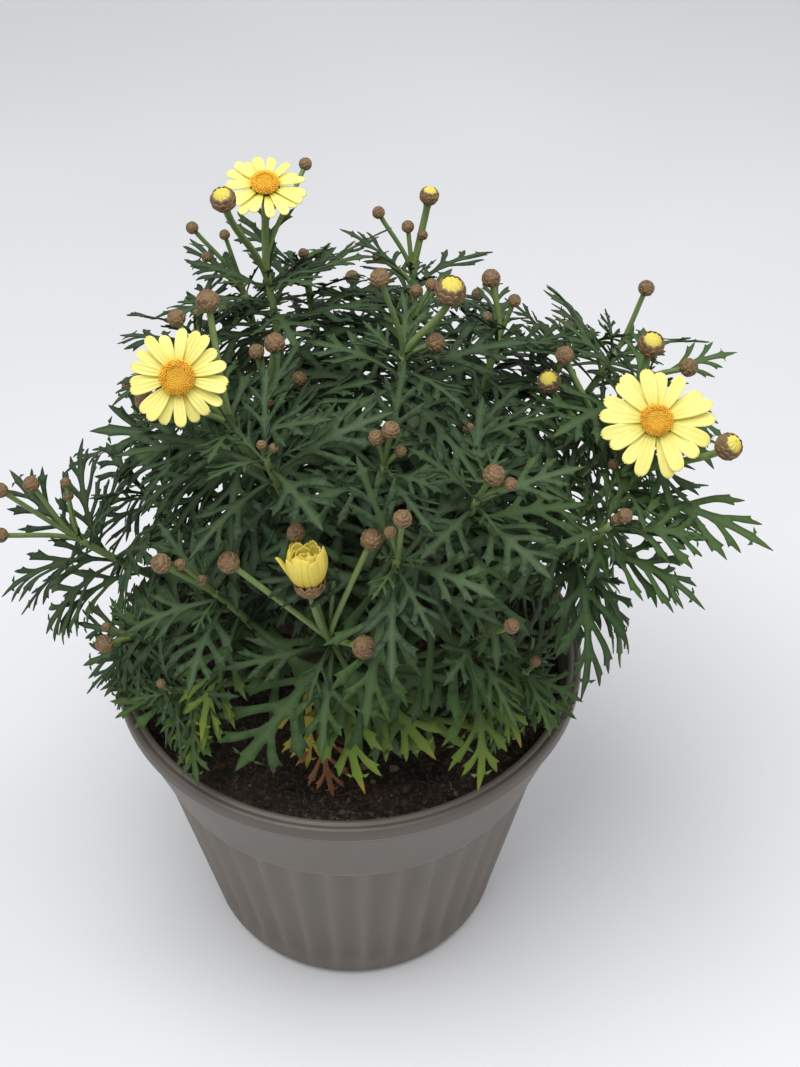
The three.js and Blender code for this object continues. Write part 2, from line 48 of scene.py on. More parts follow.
TONE_PARTS = ("chance", "along", "rib", "warmth")

# Camera, fitted to the photo
CAMERA_PLACE = (0.026, -0.578, 0.778)
CAMERA_PITCH = 42.0
CAMERA_ROLL = 0.3
CAMERA_LENS = 54.08
CAMERA_SENSOR = 36.0

# Stage, in metres. Each light has its place and its power.
FLOOR_HALF = 3.0
LIGHT_SIZE = 1.2
LIGHT_AIM = (0, 0, 0.25)
LIGHTS = [("key_light", (-0.3, -0.3, 1.8), 24), ("fill_light", (0.9, 0.1, 1.4), 6)]

# Pot
POT_HEIGHT = 180
BASE_RADIUS = 80
BASE_EDGE = 5
WALL = 2.6
FLUTED_WALL = 4.6
RIM_RADIUS = 120
RIM_HEIGHT = 8
RIM_STEP = 1.5
RIM_INNER_RADIUS = 113
COLLAR_BOTTOM_Z = 126
COLLAR_BOTTOM_RADIUS = 104
FLUTE_COUNT = 36
FLUTE_DEPTH = 3.8
FLUTE_TOP_Z = 123
WALL_BEND_Z = 122
FLUTE_BOTTOM_Z = 8
SIDES_PER_FLUTE = 8
BASE_EDGE_STEPS = 5
FOOT_RISE = 1.6
FLOOR_RISE = 3.2
INNER_HEIGHTS = (165, 145, 130, COLLAR_BOTTOM_Z, 60, 6)

# Rows of the fluted wall: their lowest and highest place and their number
FLUTED_HEIGHTS = [(7, 30, 10), (36, 114, 12), (119, 124.5, 8)]

# Round the collar's lower edge: a height of the wall, how far out from it, and the height
COLLAR_EDGE = [(125.2, 0.2, 125.2), (126, 0.55, 125.8), (127, 0.55, 127)]

# Round the rim from below to its inner side: out from its radius and up from the pot's height
RIM_SECTION = [
    (-1.5, -8.3), (-0.6, -8.2), (0, -7.6), (0.1, -6.8), (0, -2.2), (-0.5, -1), (-1.5, -0.5),
    (-3.0, -0.5), (-3.4, -0.9), (-3.9, -0.9), (-4.3, -0.2), (-5.6, 0), (-6.6, -0.2), (-7, -1.2),
    (-7.6, -4),
]

# Soil
SOIL_Z = 165
SOIL_RADIUS = 109.3
SOIL_HUMP = 2.5
SOIL_WAVE = 16
SOIL_RINGS = 72
SOIL_SECTORS = 220
CRUMB_COUNT = 1900
FIBRE_COUNT = 220
FIBRE_STEPS = 5

# Woody frame, stems and stalks
TRUNK_RADIUS = 6
TRUNK_FOOT_Z = 126
TRUNK_TOP_Z = 188
TRUNK_STEPS = 8
LIMB_RADIUS = 3.4
LIMB_STEPS = 12
LIMB_DROP = 6
STEM_RADIUS = 2.4
STEM_TOP_RADIUS = 1.7
STEM_BEND_SHARE = 0.45
STEM_STEPS = 24
STALK_RADIUS = 1.25
BLOOM_STALK_RADIUS = 1.7
STALK_BEND_SHARE = 0.3
STALK_ROOT = 1.7
STALK_STEP = 1.1
STALK_STEPS = 14
BUSH_HEART = np.array([8.0, 15.0, 200.0])
UPWARD_PULL = 0.35

# Leaves. A pair of values belongs to the youngest and the oldest leaf of a shoot.
LEAVES_PER_SHOOT = 13
FILL_TURN = 180
COARSE_LEAVES = 4
COARSE_TURN = 137.5
SHOOT_TURN = 53
LEAF_LENGTH = (46, 76)
LEAF_SPREAD = (36, 84)
FILL_SPREAD = (54, 90)
LOW_SHOOT_Z = 250
LOW_SHOOT_SHARE = 0.8
LEAF_DROOP = (25, 70)
LEAF_DEPTH = (3, 37)
LEAF_THICKNESS = 0.5
LEAF_SPACING = 0.06
LEAF_EDGE_GAP = 0.014
LOBE_RIB_STRENGTH = 0.55
LOWEST_TIP_Z = 196
LEAST_SPREAD = 20
LIFT_STEP = 8
CORE_LEAVES = 5
CORE_LENGTH = (14, 30)
CORE_SPREAD = (30, 62)
CORE_DROOP = 20

# Heads that leaves keep clear of, on the side from which the plant is shown
SHOW_SIDE = np.array([0.0, -0.74, 0.67])
HEAD_CLEARANCE = {"tip": 8, "opening": 14}
LOBE_CLEARANCE = 5
CLEAR_TURN = 47
CLEAR_TRIES = 7
CLEAR_PLACES = [((-3, -86, 272), 10), ((11, -105, 287), 10), ((-5, -88, 290), 8)]

# Blooms
CUP_RADIUS = 6.5
RAY_START = 5.5
RAY_WIDTH_SHARE = 0.31
RAY_EXTRA_WIDTH = 0.7
RAY_THICKNESS = 0.45
GROOVE_PLACE = 0.36
GROOVE_WIDTH = 0.12

# Rings of rays: where they start, how they rise, arch down and curl, and their first one's share
# of a step. The opening bud's rings run from the outer one to the two loose rays.
LOWER_RAYS = dict(start=RAY_START, height=0.9, rise=3, arch=14, curl=0.1)
UPPER_RAYS = dict(start=RAY_START, height=1.9, rise=7, arch=16, curl=0.1, first=0.5)
OPENING_RINGS = [
    dict(count=12, length=17, width=5.8, start=4.8, height=0.2, rise=52, arch=-58,
         curl=0.9),
    dict(count=9, length=15, width=5.4, start=3.8, height=0.8, rise=60, arch=-44,
         curl=0.8, first=0.5),
    dict(count=6, length=13.5, width=4.6, start=1.4, height=1.0, rise=78, arch=-20,
         curl=0.9),
    dict(count=1, length=16.5, width=5.2, start=5.2, height=0.4, rise=58, arch=-14,
         curl=0.9, first=0.38),
    dict(count=1, length=15.5, width=5.0, start=5.2, height=0.4, rise=56, arch=-4,
         curl=0.9, first=0.47),
]
DISC_RADIUS = 7.3
DISC_HEIGHT = 3.4
DISC_BOTTOM = 2.9
FLORET_COUNT = 210
FLORET_SIDES = 8
OPEN_FLORET_SHARE = 0.62
BUD_SHARE = 0.84
SMALL_BLOOM_LENGTH = 14
SMALL_DISC_SHARE = 0.9

# Florets: radius and height, then their outlines, and that of the dome they stand on, as shares
OPEN_FLORET_SIZE = (0.46, 1.25)
CLOSED_FLORET_SIZE = (0.36, 0.6)
OPEN_FLORET = [(0.5, 0), (0.8, 0.35), (1.0, 0.8), (0.75, 1.0), (0.25, 0.7)]
CLOSED_FLORET = [(0.7, 0), (1.0, 0.4), (0.85, 0.75), (0.5, 0.95), (0.05, 1.05)]
DOME = [(0.96, 0), (0.95, 0.3), (0.75, 0.62), (0.4, 0.66)]

# Rows of scales on a bud or cup: each row's tilt from the top, and its number of scales
SMALL_BUD_SCALES = (2.35, 1.7, 1.05, 0.55), (6, 7, 6, 4)
BUD_SCALES = (2.55, 2.1, 1.65, 1.2, 0.75, 0.42), (8, 10, 11, 10, 8, 5)
TIP_SCALES = (2.55, 2.15, 1.75, 1.4), (8, 10, 11, 10)
CUP_SCALES = (2.6, 2.25, 1.95), (7, 10, 12)
SMALL_BUD = 7

# The yellow tip of a bud: its folds, and its outline as shares of its radius
TIP_FOLDS = 11
TIP_SIDES = 66
TIP_PROFILE = [
    (0.84, -0.1), (0.93, 0.1), (0.9, 0.32), (0.76, 0.56), (0.55, 0.78), (0.3, 0.96), (0.08, 1.02),
    (0.0, 0.9),
]

# The woody frame forks at these places.
FORKS = np.array([
    (-48, -12, 215),
    (-30, -42, 208),
    (18, -45, 208),
    (50, -18, 212),
    (52, 28, 215),
    (12, 50, 222),
    (-36, 38, 220),
    (2, 0, 235),
], dtype=float)


class Head:
    """A tip, an opening bud or a bloom: its offset from its shoot, the way it faces, its sizes."""

    def __init__(self, kind, to, facing, size=2 * CUP_RADIUS, rays=0, length=0):
        self.kind = kind
        self.to = np.array(to, dtype=float)
        self.facing = facing
        self.size = size
        self.rays = rays
        self.length = length


class Shoot:
    """A leafy shoot: the place where its leaves crowd, its closed buds as offsets from there with
    their diameter, its other heads, and places that leaf tips reach, from the oldest leaf on."""

    def __init__(self, name, at, buds=(), heads=(), reach=()):
        self.name = name
        self.at = np.array(at, dtype=float)
        self.buds = buds
        self.heads = heads
        self.reach = reach


SHOOTS = [
    Shoot("front", (-5, -80, 266),
          [(-41, -5, 51, 11), (19, 0, 60, 11), (16, -25, 21, 12), (-13, 5, 59, 9), (3, 3, 38, 5)],
          heads=[Head("opening", (-7, -10, 44), (-0.12, 0.2, 0.97))],
          reach=[(4, -117, 203), (46, -104, 217), (-42, -116, 211), (27, -100, 208)]),
    Shoot("low_left", (-97, -55, 241),
          [(-12, -12, 8, 10), (-11, -8, 15, 5)],
          reach=[(-121, -44, 196), (-129, -38, 208), (-131, -28, 225)]),
    Shoot("rim_left", (-79, -80, 232),
          [(-3, -4, 9, 5)],
          reach=[(-112, -62, 194), (-76, -76, 184), (-87, -72, 191)]),
    Shoot("left_front", (-56, -70, 285),
          [(-18, -18, 34, 10), (-11, -12, 28, 6), (-4, -5, 12, 6)],
          reach=[(-67, -102, 223)]),
    Shoot("left", (-126, -15, 266),
          [(-17, -3, 37, 9), (-29, -11, 40, 8), (-31, -18, 19, 8), (-3, 4, 32, 6), (-3, 4, 24, 6)],
          reach=[(-142, -26, 208), (-166, -20, 239), (-129, 30, 291), (-161, 5, 290)]),
    Shoot("left_mid", (-31, -55, 350), [(-1, -2, 8, 5), (4, 0, 5, 5)]),
    Shoot("left_flower", (-46, -35, 350),
          [(-35, -5, 18, 11), (-9, 20, 51, 12), (-22, 15, 46, 9)],
          heads=[Head("bloom", (-20, -8, 32), (0, -0.74, 0.67), rays=20, length=15)]),
    Shoot("trio", (-34, 5, 330), [(4, 1, 35, 11), (-4, -1, 32, 8), (14, 2, 15, 8), (0, 0, 3, 6)]),
    Shoot("centre", (19, -50, 342), [(3, -4, 22, 9), (-3, -3, 17, 8), (7, -2, 9, 6)]),
    Shoot("centre_low", (25, -85, 320), [(2, -9, 30, 9), (-3, -6, 20, 6)]),
    Shoot("upper_centre", (27, 0, 363),
          [(-10, -1, 41, 10), (14, -1, 8, 10)],
          heads=[Head("tip", (20, -3, 36), (0.1, -0.2, 0.97), size=13)]),
    Shoot("top_left", (-37, 60, 366),
          [(18, 32, 40, 7)],
          heads=[
              Head("bloom", (1, 6, 42), (0.05, -0.28, 0.96), rays=18, length=13),
              Head("tip", (-14, -28, 56), (-0.1, -0.3, 0.95), size=11),
          ]),
    Shoot("top_far_left", (-51, 85, 340), [(-23, 3, 34, 7), (-8, 5, 29, 6), (-17, 1, 19, 6)]),
    Shoot("top_mid", (-21, 95, 346), [(-1, 1, 9, 6)]),
    Shoot("top_right", (31, 85, 349),
          [(-16, 6, 32, 7), (-2, 5, 25, 7), (5, 4, 21, 6), (-17, 2, 10, 5)],
          heads=[Head("tip", (8, 8, 40), (0.15, 0, 0.99), size=9)]),
    Shoot("upper_back", (31, 45, 348), [(2, 2, 18, 7), (9, 1, 22, 7), (-4, 1, 12, 5)]),
    Shoot("upper_right", (72, 40, 345), [(-5, 4, 30, 10), (6, 1, 20, 7), (-6, 2, 10, 6)]),
    Shoot("right_back", (109, 75, 312), [(0, 3, 13, 7)]),
    Shoot("right_top", (131, 60, 324), [(11, 4, 33, 9)]),
    Shoot("right_bud", (140, 25, 332),
          [(18, -5, 11, 10)],
          heads=[Head("tip", (1, 3, 18), (0.1, -0.3, 0.95), size=12)]),
    Shoot("right_flower", (128, -10, 303),
          [(-4, 1, 6, 6)],
          heads=[
              Head("bloom", (12, -2, 33), (-0.05, -0.6, 0.8), rays=18, length=20),
              Head("tip", (42, -19, 33), (0.5, -0.4, 0.77), size=12),
          ],
          reach=[(175, -25, 275), (108, -48, 262), (198, -34, 283)]),
    Shoot("right_mid", (119, 10, 297),
          [(-18, 12, 51, 10), (3, 0, 12, 9)],
          heads=[Head("tip", (-24, 13, 35), (-0.2, -0.3, 0.93), size=11)]),
    Shoot("right_low", (120, -45, 304),
          [(5, -3, 8, 8), (2, -1, 4, 6)],
          reach=[(132, -56, 239), (166, -56, 269), (102, -42, 233), (166, -38, 289)]),
    Shoot("mid_right", (59, -60, 332), [(6, -5, 17, 11), (13, -6, 13, 7)]),
    Shoot("low_right", (62, -80, 267),
          [(12, -13, 21, 8), (3, -5, 12, 6)],
          reach=[(84, -88, 204), (101, -66, 218), (52, -78, 206)]),
    Shoot("rim_right", (85, -70, 235), [(3, -3, 10, 6)]),
    Shoot("centre_right", (56, -22, 334), [(0, 0, 6, 6)]),
    Shoot("left_back", (-73, 60, 335), [(2, 2, 8, 6)]),
    Shoot("mid_left", (-69, 20, 311), [(0, 0, 7, 5)], reach=[(-122, 18, 303)]),
    Shoot("back_left", (-105, 65, 270), [(-6, 6, 24, 8)]),
    Shoot("back_low_left", (-60, 115, 262), [(-4, 8, 18, 6)]),
    Shoot("back_mid", (0, 135, 285), [(0, 8, 26, 9)]),
    Shoot("back_right", (62, 118, 290), [(4, 8, 22, 8)]),
    Shoot("low_back_right", (112, 50, 250), [(6, 4, 12, 6)]),
    Shoot("left_inner", (-98, 12, 274)),
]


# Meshes

class Shape:
    """Points, triangles and a tone of four values for each point: chance, along, rib and warmth."""

    def __init__(self, points, faces, tone=(0.5, 0.5, 0.0, 0.0)):
        self.points = np.asarray(points, dtype=float)
        self.faces = np.asarray(faces, dtype=int)
        self.tone = np.empty((len(self.points), 4))
        self.tone[:] = tone

    def placed(self, axes, place):
        """The shape in a frame whose rows are the directions of its own X, Y and Z."""
        return Shape(self.points @ np.asarray(axes) + place, self.faces, self.tone)


def joined(shapes):
    starts = np.cumsum([0] + [len(shape.points) for shape in shapes[:-1]])
    faces = [shape.faces + start for shape, start in zip(shapes, starts)]
    points = [shape.points for shape in shapes]
    tones = [shape.tone for shape in shapes]
    return Shape(np.concatenate(points), np.concatenate(faces), np.concatenate(tones))


def add_piece(name, shapes, material, nodes=()):
    shape = joined(shapes)
    mesh = bpy.data.meshes.new(name)
    mesh.vertices.add(len(shape.points))
    mesh.vertices.foreach_set("co", (shape.points * METRE).astype(np.float32).ravel())
    mesh.loops.add(3 * len(shape.faces))
    mesh.loops.foreach_set("vertex_index", shape.faces.astype(np.int32).ravel())
    mesh.polygons.add(len(shape.faces))
    mesh.polygons.foreach_set("loop_start", np.arange(0, 3 * len(shape.faces), 3, dtype=np.int32))
    mesh.update(calc_edges=True)
    mesh.validate()
    mesh.polygons.foreach_set("use_smooth", np.ones(len(mesh.polygons), dtype=bool))
    tone = mesh.attributes.new("tone", "FLOAT_COLOR", "POINT")
    tone.data.foreach_set("color", shape.tone.astype(np.float32).ravel())
    mesh.materials.append(material)
    piece = bpy.data.objects.new(name, mesh)
    bpy.context.scene.collection.objects.link(piece)
    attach(piece, "root")
    if nodes:
        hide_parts(*nodes)
    return piece


def mix(pair, share):
    return pair[0] + (pair[1] - pair[0]) * share


def ramp(value, start, end):
    """How far a value has come from start to end, as a share from 0 to 1."""
    return np.clip((value - start) / (end - start), 0, 1)


def polar(radius, angle):
    """X and Y of the place at a distance and an angle."""
    return radius * math.cos(angle), radius * math.sin(angle)


def unit(vector):
    return vector / np.linalg.norm(vector)


def turned_about(vector, axis, degrees):
    return np.array(Matrix.Rotation(math.radians(degrees), 3, Vector(axis)) @ Vector(vector))


def turned_to(degrees):
    """Rows of a frame that is turned about Z."""
    return np.array(Matrix.Rotation(math.radians(degrees), 3, "Z")).T


def widened(points, across, up=1.0):
    """The points with X and Y scaled by one factor and Z by another."""
    return points * np.stack([across, across, up * np.ones_like(across)], 1)


def twisted(y, z, angle):
    """Y and Z of points turned about X, by an angle in radians for each point."""
    return y * np.cos(angle) - z * np.sin(angle), y * np.sin(angle) + z * np.cos(angle)


def arched(x, y, z, degrees, length):
    """The points of a sheet that bends down evenly along X over its length."""
    bend = math.radians(degrees) / length
    reach = 1 / bend + z
    return np.stack([reach * np.sin(bend * x), y, reach * np.cos(bend * x) - 1 / bend], 1)


def tone_rows(*parts):
    """The tone of each point, from parts that are one number or a number for each point."""
    return np.stack(np.broadcast_arrays(*parts), 1)


def frame_facing(direction, turn=0.0):
    """Rows X, Y and Z of a frame whose Z is the direction, turned about it in degrees."""
    z = unit(np.asarray(direction, dtype=float))
    helper = UP if abs(z[2]) < 0.95 else np.array([0.0, 1.0, 0.0])
    x = turned_about(unit(np.cross(helper, z)), z, turn)
    return np.array([x, np.cross(z, x), z])


def grid_faces(rows, columns, closed=False):
    """Triangles over rows of points. A closed grid joins its last column to its first."""
    faces = []
    for row in range(rows - 1):
        for column in range(columns if closed else columns - 1):
            a = row * columns + column
            b = row * columns + (column + 1) % columns
            faces += [(a, b, b + columns), (a, b + columns, a + columns)]
    return np.array(faces)


def point_normals(points, faces):
    corners = points[faces]
    across = np.cross(corners[:, 1] - corners[:, 0], corners[:, 2] - corners[:, 0])
    normals = np.zeros_like(points)
    for corner in range(3):
        np.add.at(normals, faces[:, corner], across)
    return normals / np.maximum(np.linalg.norm(normals, axis=1, keepdims=True), 1e-9)


def rim_edges(faces):
    """The edges that belong to one triangle only."""
    edges = np.concatenate([faces[:, [0, 1]], faces[:, [1, 2]], faces[:, [2, 0]]])
    _, first, count = np.unique(np.sort(edges, axis=1), axis=0, return_index=True, return_counts=True)
    return edges[first[count == 1]]


def plate(points, faces, edges, thickness, tone):
    """A closed plate of even thickness about a sheet of triangles."""
    offset = point_normals(points, faces) * thickness / 2
    count = len(points)
    a, b = edges[:, 0], edges[:, 1]
    sides = np.concatenate([np.stack([b, a, a + count], 1), np.stack([b, a + count, b + count], 1)])
    whole = np.concatenate([faces, faces[:, ::-1] + count, sides])
    return Shape(np.concatenate([points + offset, points - offset]), whole, np.concatenate([tone, tone]))


def tube(line, radii, sides, tone=(0.5, 0.0, 0.0, 0.0)):
    """A closed tube along a line of points, with a radius at each."""
    line = np.asarray(line, dtype=float)
    tangents = np.gradient(line, axis=0)
    side = frame_facing(tangents[0])[0]
    angles = np.linspace(0, 2 * math.pi, sides, endpoint=False)[:, None]
    rings = []
    for point, tangent, radius in zip(line, tangents, radii):
        tangent = unit(tangent)
        side = unit(side - tangent * np.dot(side, tangent))
        other = np.cross(tangent, side)
        rings.append(point + radius * (np.cos(angles) * side + np.sin(angles) * other))
    count = len(line)
    points = np.concatenate(rings + [line[:1], line[-1:]])
    foot, tip = count * sides, count * sides + 1
    around = np.arange(sides)
    after = (around + 1) % sides
    last = (count - 1) * sides
    caps = [np.stack([after, around, np.full(sides, foot)], 1)]
    caps.append(np.stack([around + last, after + last, np.full(sides, tip)], 1))
    shape = Shape(points, np.concatenate([grid_faces(count, sides, closed=True)] + caps), tone)
    shape.tone[:, 1] = np.concatenate([np.repeat(np.linspace(0, 1, count), sides), [0, 1]])
    return shape


def turned(profile, sides, change=None):
    """A body turned about Z from a list of radius and height, open or closed at the axis."""
    angles = np.linspace(0, 2 * math.pi, sides, endpoint=False)
    points = np.array([(r * math.cos(a), r * math.sin(a), z) for r, z in profile for a in angles])
    if change is not None:
        points = change(points)
    return Shape(points, grid_faces(len(profile), sides, closed=True))


def curve(controls, steps):
    """Points along a Bezier curve of any number of control points."""
    shares = np.linspace(0, 1, steps)
    degree = len(controls) - 1
    weights = [math.comb(degree, k) * shares**k * (1 - shares) ** (degree - k) for k in range(degree + 1)]
    return sum(np.outer(weight, control) for weight, control in zip(weights, controls))


def at_length(line, distance_from_end):
    """The point and the direction of a line at a distance before its end."""
    steps = np.linalg.norm(np.diff(line, axis=0), axis=1)
    travelled = np.concatenate([[0], np.cumsum(steps)])
    wanted = travelled[-1] - distance_from_end
    index = int(np.clip(np.searchsorted(travelled, wanted) - 1, 0, len(steps) - 1))
    share = (wanted - travelled[index]) / steps[index]
    return line[index] + share * (line[index + 1] - line[index]), unit(line[index + 1] - line[index])


# Materials

def colour(red, green, blue):
    """A screen colour from 0 to 255 as the linear values that a shader takes."""
    shares = [value / 255 for value in (red, green, blue)]
    return [s / 12.92 if s <= 0.04045 else ((s + 0.055) / 1.055) ** 2.4 for s in shares] + [1.0]


class Paint:
    """A material with a principled shader, and short ways to add nodes before it."""

    def __init__(self, name, roughness, **settings):
        self.material = bpy.data.materials.new(name)
        self.material.use_nodes = True
        self.tree = self.material.node_tree
        self.shader = self.tree.nodes["Principled BSDF"]
        self.shader.inputs["Roughness"].default_value = roughness
        for socket, value in settings.items():
            self.shader.inputs[socket.replace("_", " ")].default_value = value

    def node(self, kind, inputs, **settings):
        node = self.tree.nodes.new(kind)
        for key, value in settings.items():
            setattr(node, key, value)
        for key, value in inputs.items():
            if isinstance(value, bpy.types.NodeSocket):
                self.tree.links.new(value, node.inputs[key])
            else:
                node.inputs[key].default_value = value
        return node

    def place(self):
        return self.node("ShaderNodeTexCoord", {}).outputs["Object"]

    def height(self):
        return self.node("ShaderNodeSeparateXYZ", {0: self.place()}).outputs[2]

    def stretched(self, scale):
        inputs = {"Vector": self.place(), "Scale": scale}
        return self.node("ShaderNodeMapping", inputs).outputs[0]

    def tone(self, *names):
        """The parts of a piece's tone that have these names."""
        whole = self.node("ShaderNodeAttribute", {}, attribute_name="tone")
        split = self.node("ShaderNodeSeparateColor", {0: whole.outputs["Color"]})
        parts = dict(zip(TONE_PARTS, [*split.outputs, whole.outputs["Alpha"]]))
        return [parts[name] for name in names]

    def noise(self, scale, detail=4.0, vector=None, roughness=0.55):
        inputs = {"Vector": vector or self.place(), "Scale": scale, "Detail": detail, "Roughness": roughness}
        return self.node("ShaderNodeTexNoise", inputs).outputs[0]

    def math(self, operation, first, second=0.0):
        node = self.node("ShaderNodeMath", {0: first, 1: second}, operation=operation)
        return node.outputs[0]

    def range(self, value, low, high, to_low=0.0, to_high=1.0):
        inputs = {"Value": value, "From Min": low, "From Max": high, "To Min": to_low, "To Max": to_high}
        return self.node("ShaderNodeMapRange", inputs).outputs[0]

    def blend(self, factor, first, second):
        """A mix of two colours, each from a node or as a screen colour."""
        first, second = [colour(*ink) if isinstance(ink, tuple) else ink for ink in (first, second)]
        return self.node("ShaderNodeMix", {0: factor, 6: first, 7: second}, data_type="RGBA").outputs[2]

    def coat(self, base, value, low, high, share, tint):
        """The base under a share of a colour that comes in as a value goes from low to high."""
        return self.blend(self.range(value, low, high, 0, share), base, tint)

    def finish(self, base, bump=None, strength=0.3, distance=0.0005, roughness=None):
        self.tree.links.new(base, self.shader.inputs["Base Color"])
        if roughness is not None:
            self.tree.links.new(roughness, self.shader.inputs["Roughness"])
        if bump is not None:
            inputs = {"Height": bump, "Strength": strength, "Distance": distance}
            normal = self.node("ShaderNodeBump", inputs).outputs[0]
            self.tree.links.new(normal, self.shader.inputs["Normal"])
        return self.material

    def let_light_through(self, base, share):
        """Adds a share of light that passes from the far side, as in a thin leaf or ray."""
        output = self.tree.nodes["Material Output"]
        glow = self.node("ShaderNodeBsdfTranslucent", {"Color": base}).outputs[0]
        inputs = {0: share, 1: self.shader.outputs[0], 2: glow}
        self.tree.links.new(self.node("ShaderNodeMixShader", inputs).outputs[0], output.inputs[0])


def pot_paint():
    paint = Paint("pot_plastic", 0.5)
    (hollow,) = paint.tone("chance")
    broad = paint.noise(14.0, 3.0)
    streaks = paint.noise(60.0, 3.0, paint.stretched((1, 1, 0.08)))
    specks = paint.noise(320.0, 1.0)
    height = paint.height()
    collar = COLLAR_BOTTOM_Z * METRE
    band = (POT_HEIGHT - RIM_HEIGHT + 0.4) * METRE
    # Distance from the rim band's lower edge, for a painted highlight along it.
    line = paint.math("ABSOLUTE", paint.math("SUBTRACT", height, band))
    base = paint.blend(paint.range(broad, 0.3, 0.7), (106, 98, 89), (118, 109, 100))
    base = paint.coat(base, streaks, 0.45, 0.8, 0.35, (94, 86, 78))
    # Painted shade: the flutes are darker where they are deepest.
    base = paint.coat(base, hollow, 0.35, 1.0, 0.4, (82, 75, 68))
    base = paint.coat(base, height, collar - 0.0005, collar + 0.0005, 0.3, (84, 77, 70))
    base = paint.coat(base, height, band, band + 0.0004, 0.45, (80, 72, 65))
    # Painted highlight: a thin bright line along the rim band's lower edge.
    base = paint.coat(base, line, 0.0007, 0.0001, 0.55, (150, 142, 134))
    base = paint.coat(base, specks, 0.7, 0.76, 0.3, (84, 75, 68))
    rough = paint.range(broad, 0.3, 0.7, 0.42, 0.56)
    return paint.finish(base, paint.noise(900.0, 2.0), 0.12, 0.0003, rough)


def soil_paint():
    paint = Paint("soil", 0.95)
    (chance,) = paint.tone("chance")
    grain = paint.noise(420.0, 6.0, roughness=0.7)
    base = paint.blend(paint.range(paint.noise(45.0), 0.35, 0.7), (38, 30, 24), (64, 52, 41))
    base = paint.coat(base, grain, 0.5, 0.68, 0.9, (118, 101, 80))
    base = paint.coat(base, chance, 0.5, 1.0, 1, (150, 130, 102))
    return paint.finish(base, grain, 1.0, 0.002)


def wood_paint():
    paint = Paint("woody_stem", 0.8)
    bark = paint.noise(150.0, 5.0, paint.stretched((1, 1, 0.3)))
    base = paint.blend(paint.range(bark, 0.3, 0.7), (70, 58, 42), (112, 98, 72))
    return paint.finish(base, bark, 0.6, 0.0008)


def stalk_paint():
    paint = Paint("stalk", 0.5)
    chance, woody = paint.tone("chance", "warmth")
    streaks = paint.noise(500.0, 3.0, paint.stretched((1, 1, 0.12)))
    base = paint.blend(chance, (94, 118, 66), (126, 146, 82))
    base = paint.coat(base, streaks, 0.4, 0.7, 0.5, (88, 104, 62))
    base = paint.coat(base, woody, 0.0, 1.0, 0.8, (92, 84, 56))
    return paint.finish(base, streaks, 0.25, 0.0004)


def leaf_paint():
    paint = Paint("leaf", 0.6, Specular_IOR_Level=0.3)
    chance, along, rib, warmth = paint.tone(*TONE_PARTS)
    fine = paint.noise(900.0)
    cool = paint.blend(chance, (34, 54, 33), (58, 80, 47))
    green = paint.blend(chance, (52, 82, 34), (84, 116, 46))
    base = paint.blend(paint.range(warmth, 0.08, 0.7), cool, green)
    base = paint.coat(base, paint.noise(38.0, 3.0), 0.45, 0.75, 0.4, (30, 48, 31))
    base = paint.coat(base, fine, 0.5, 0.75, 0.4, (84, 106, 70))
    base = paint.coat(base, rib, 0.0, 1.0, 0.4, (98, 122, 78))
    ripe = paint.math("MULTIPLY", paint.range(warmth, 0.6, 1.0), paint.range(along, 0.35, 0.95))
    base = paint.blend(ripe, base, (118, 140, 50))
    dry = paint.math("MULTIPLY", paint.range(warmth, 0.9, 1.0), paint.range(along, 0.9, 1.0))
    base = paint.blend(dry, base, (186, 130, 62))
    veins = paint.math("SUBTRACT", fine, paint.math("MULTIPLY", rib, 0.6))
    material = paint.finish(base, veins, 0.35, 0.0007)
    paint.let_light_through(base, 0.18)
    return material


def old_leaf_paint(name, inner, outer):
    paint = Paint(name, 0.7)
    fine = paint.noise(700.0)
    base = paint.blend(paint.range(paint.noise(70.0), 0.35, 0.65), inner, outer)
    base = paint.coat(base, fine, 0.5, 0.8, 0.4, (120, 84, 50))
    return paint.finish(base, fine, 0.5, 0.0008)


def bract_paint():
    paint = Paint("bract", 0.62)
    chance, along, edge = paint.tone("chance", "along", "rib")
    fine = paint.noise(700.0)
    base = paint.blend(chance, (92, 68, 44), (132, 104, 68))
    base = paint.coat(base, fine, 0.5, 0.75, 0.6, (74, 48, 34))
    base = paint.coat(base, edge, 0.5, 1.0, 0.6, (164, 132, 92))
    base = paint.coat(base, along, 0.32, 0.0, 1, (120, 126, 74))
    dark = paint.math("MULTIPLY", paint.range(chance, 0.55, 0.9), paint.range(along, 0.5, 1.0))
    base = paint.coat(base, dark, 0.0, 1.0, 0.8, (54, 34, 26))
    return paint.finish(base, fine, 0.4, 0.0005)


def ray_paint(name, light, shade):
    paint = Paint(name, 0.55)
    along, groove = paint.tone("along", "rib")
    # Painted shade: each ray goes from its shade colour at the base to its light colour outwards.
    base = paint.blend(paint.range(along, 0.0, 0.45), shade, light)
    base = paint.coat(base, paint.noise(90.0, 3.0), 0.45, 0.8, 0.35, shade)
    # Painted shade in the grooves along each ray.
    base = paint.coat(base, groove, 0.0, 1.0, 0.45, shade)
    material = paint.finish(base, paint.noise(1200.0, 3.0), 0.08, 0.0003)
    paint.let_light_through(base, 0.25)
    return material


def disc_paint():
    paint = Paint("disc_florets", 0.6)
    chance, along, outwards = paint.tone("chance", "along", "warmth")
    outer = paint.blend(chance, (232, 166, 30), (250, 200, 62))
    inner = paint.blend(chance, (214, 170, 40), (232, 190, 52))
    base = paint.blend(outwards, inner, outer)
    base = paint.coat(base, along, 0.5, 0.0, 0.4, (196, 128, 22))
    return paint.finish(base, paint.noise(1500.0, 3.0), 0.3, 0.0003)


def floor_paint():
    paint = Paint("floor", 0.7)
    base = paint.blend(paint.range(paint.noise(1.5, 2.0), 0.3, 0.7), (222, 223, 226), (230, 231, 233))
    return paint.finish(base, paint.noise(180.0, 3.0), 0.03, 0.0004)


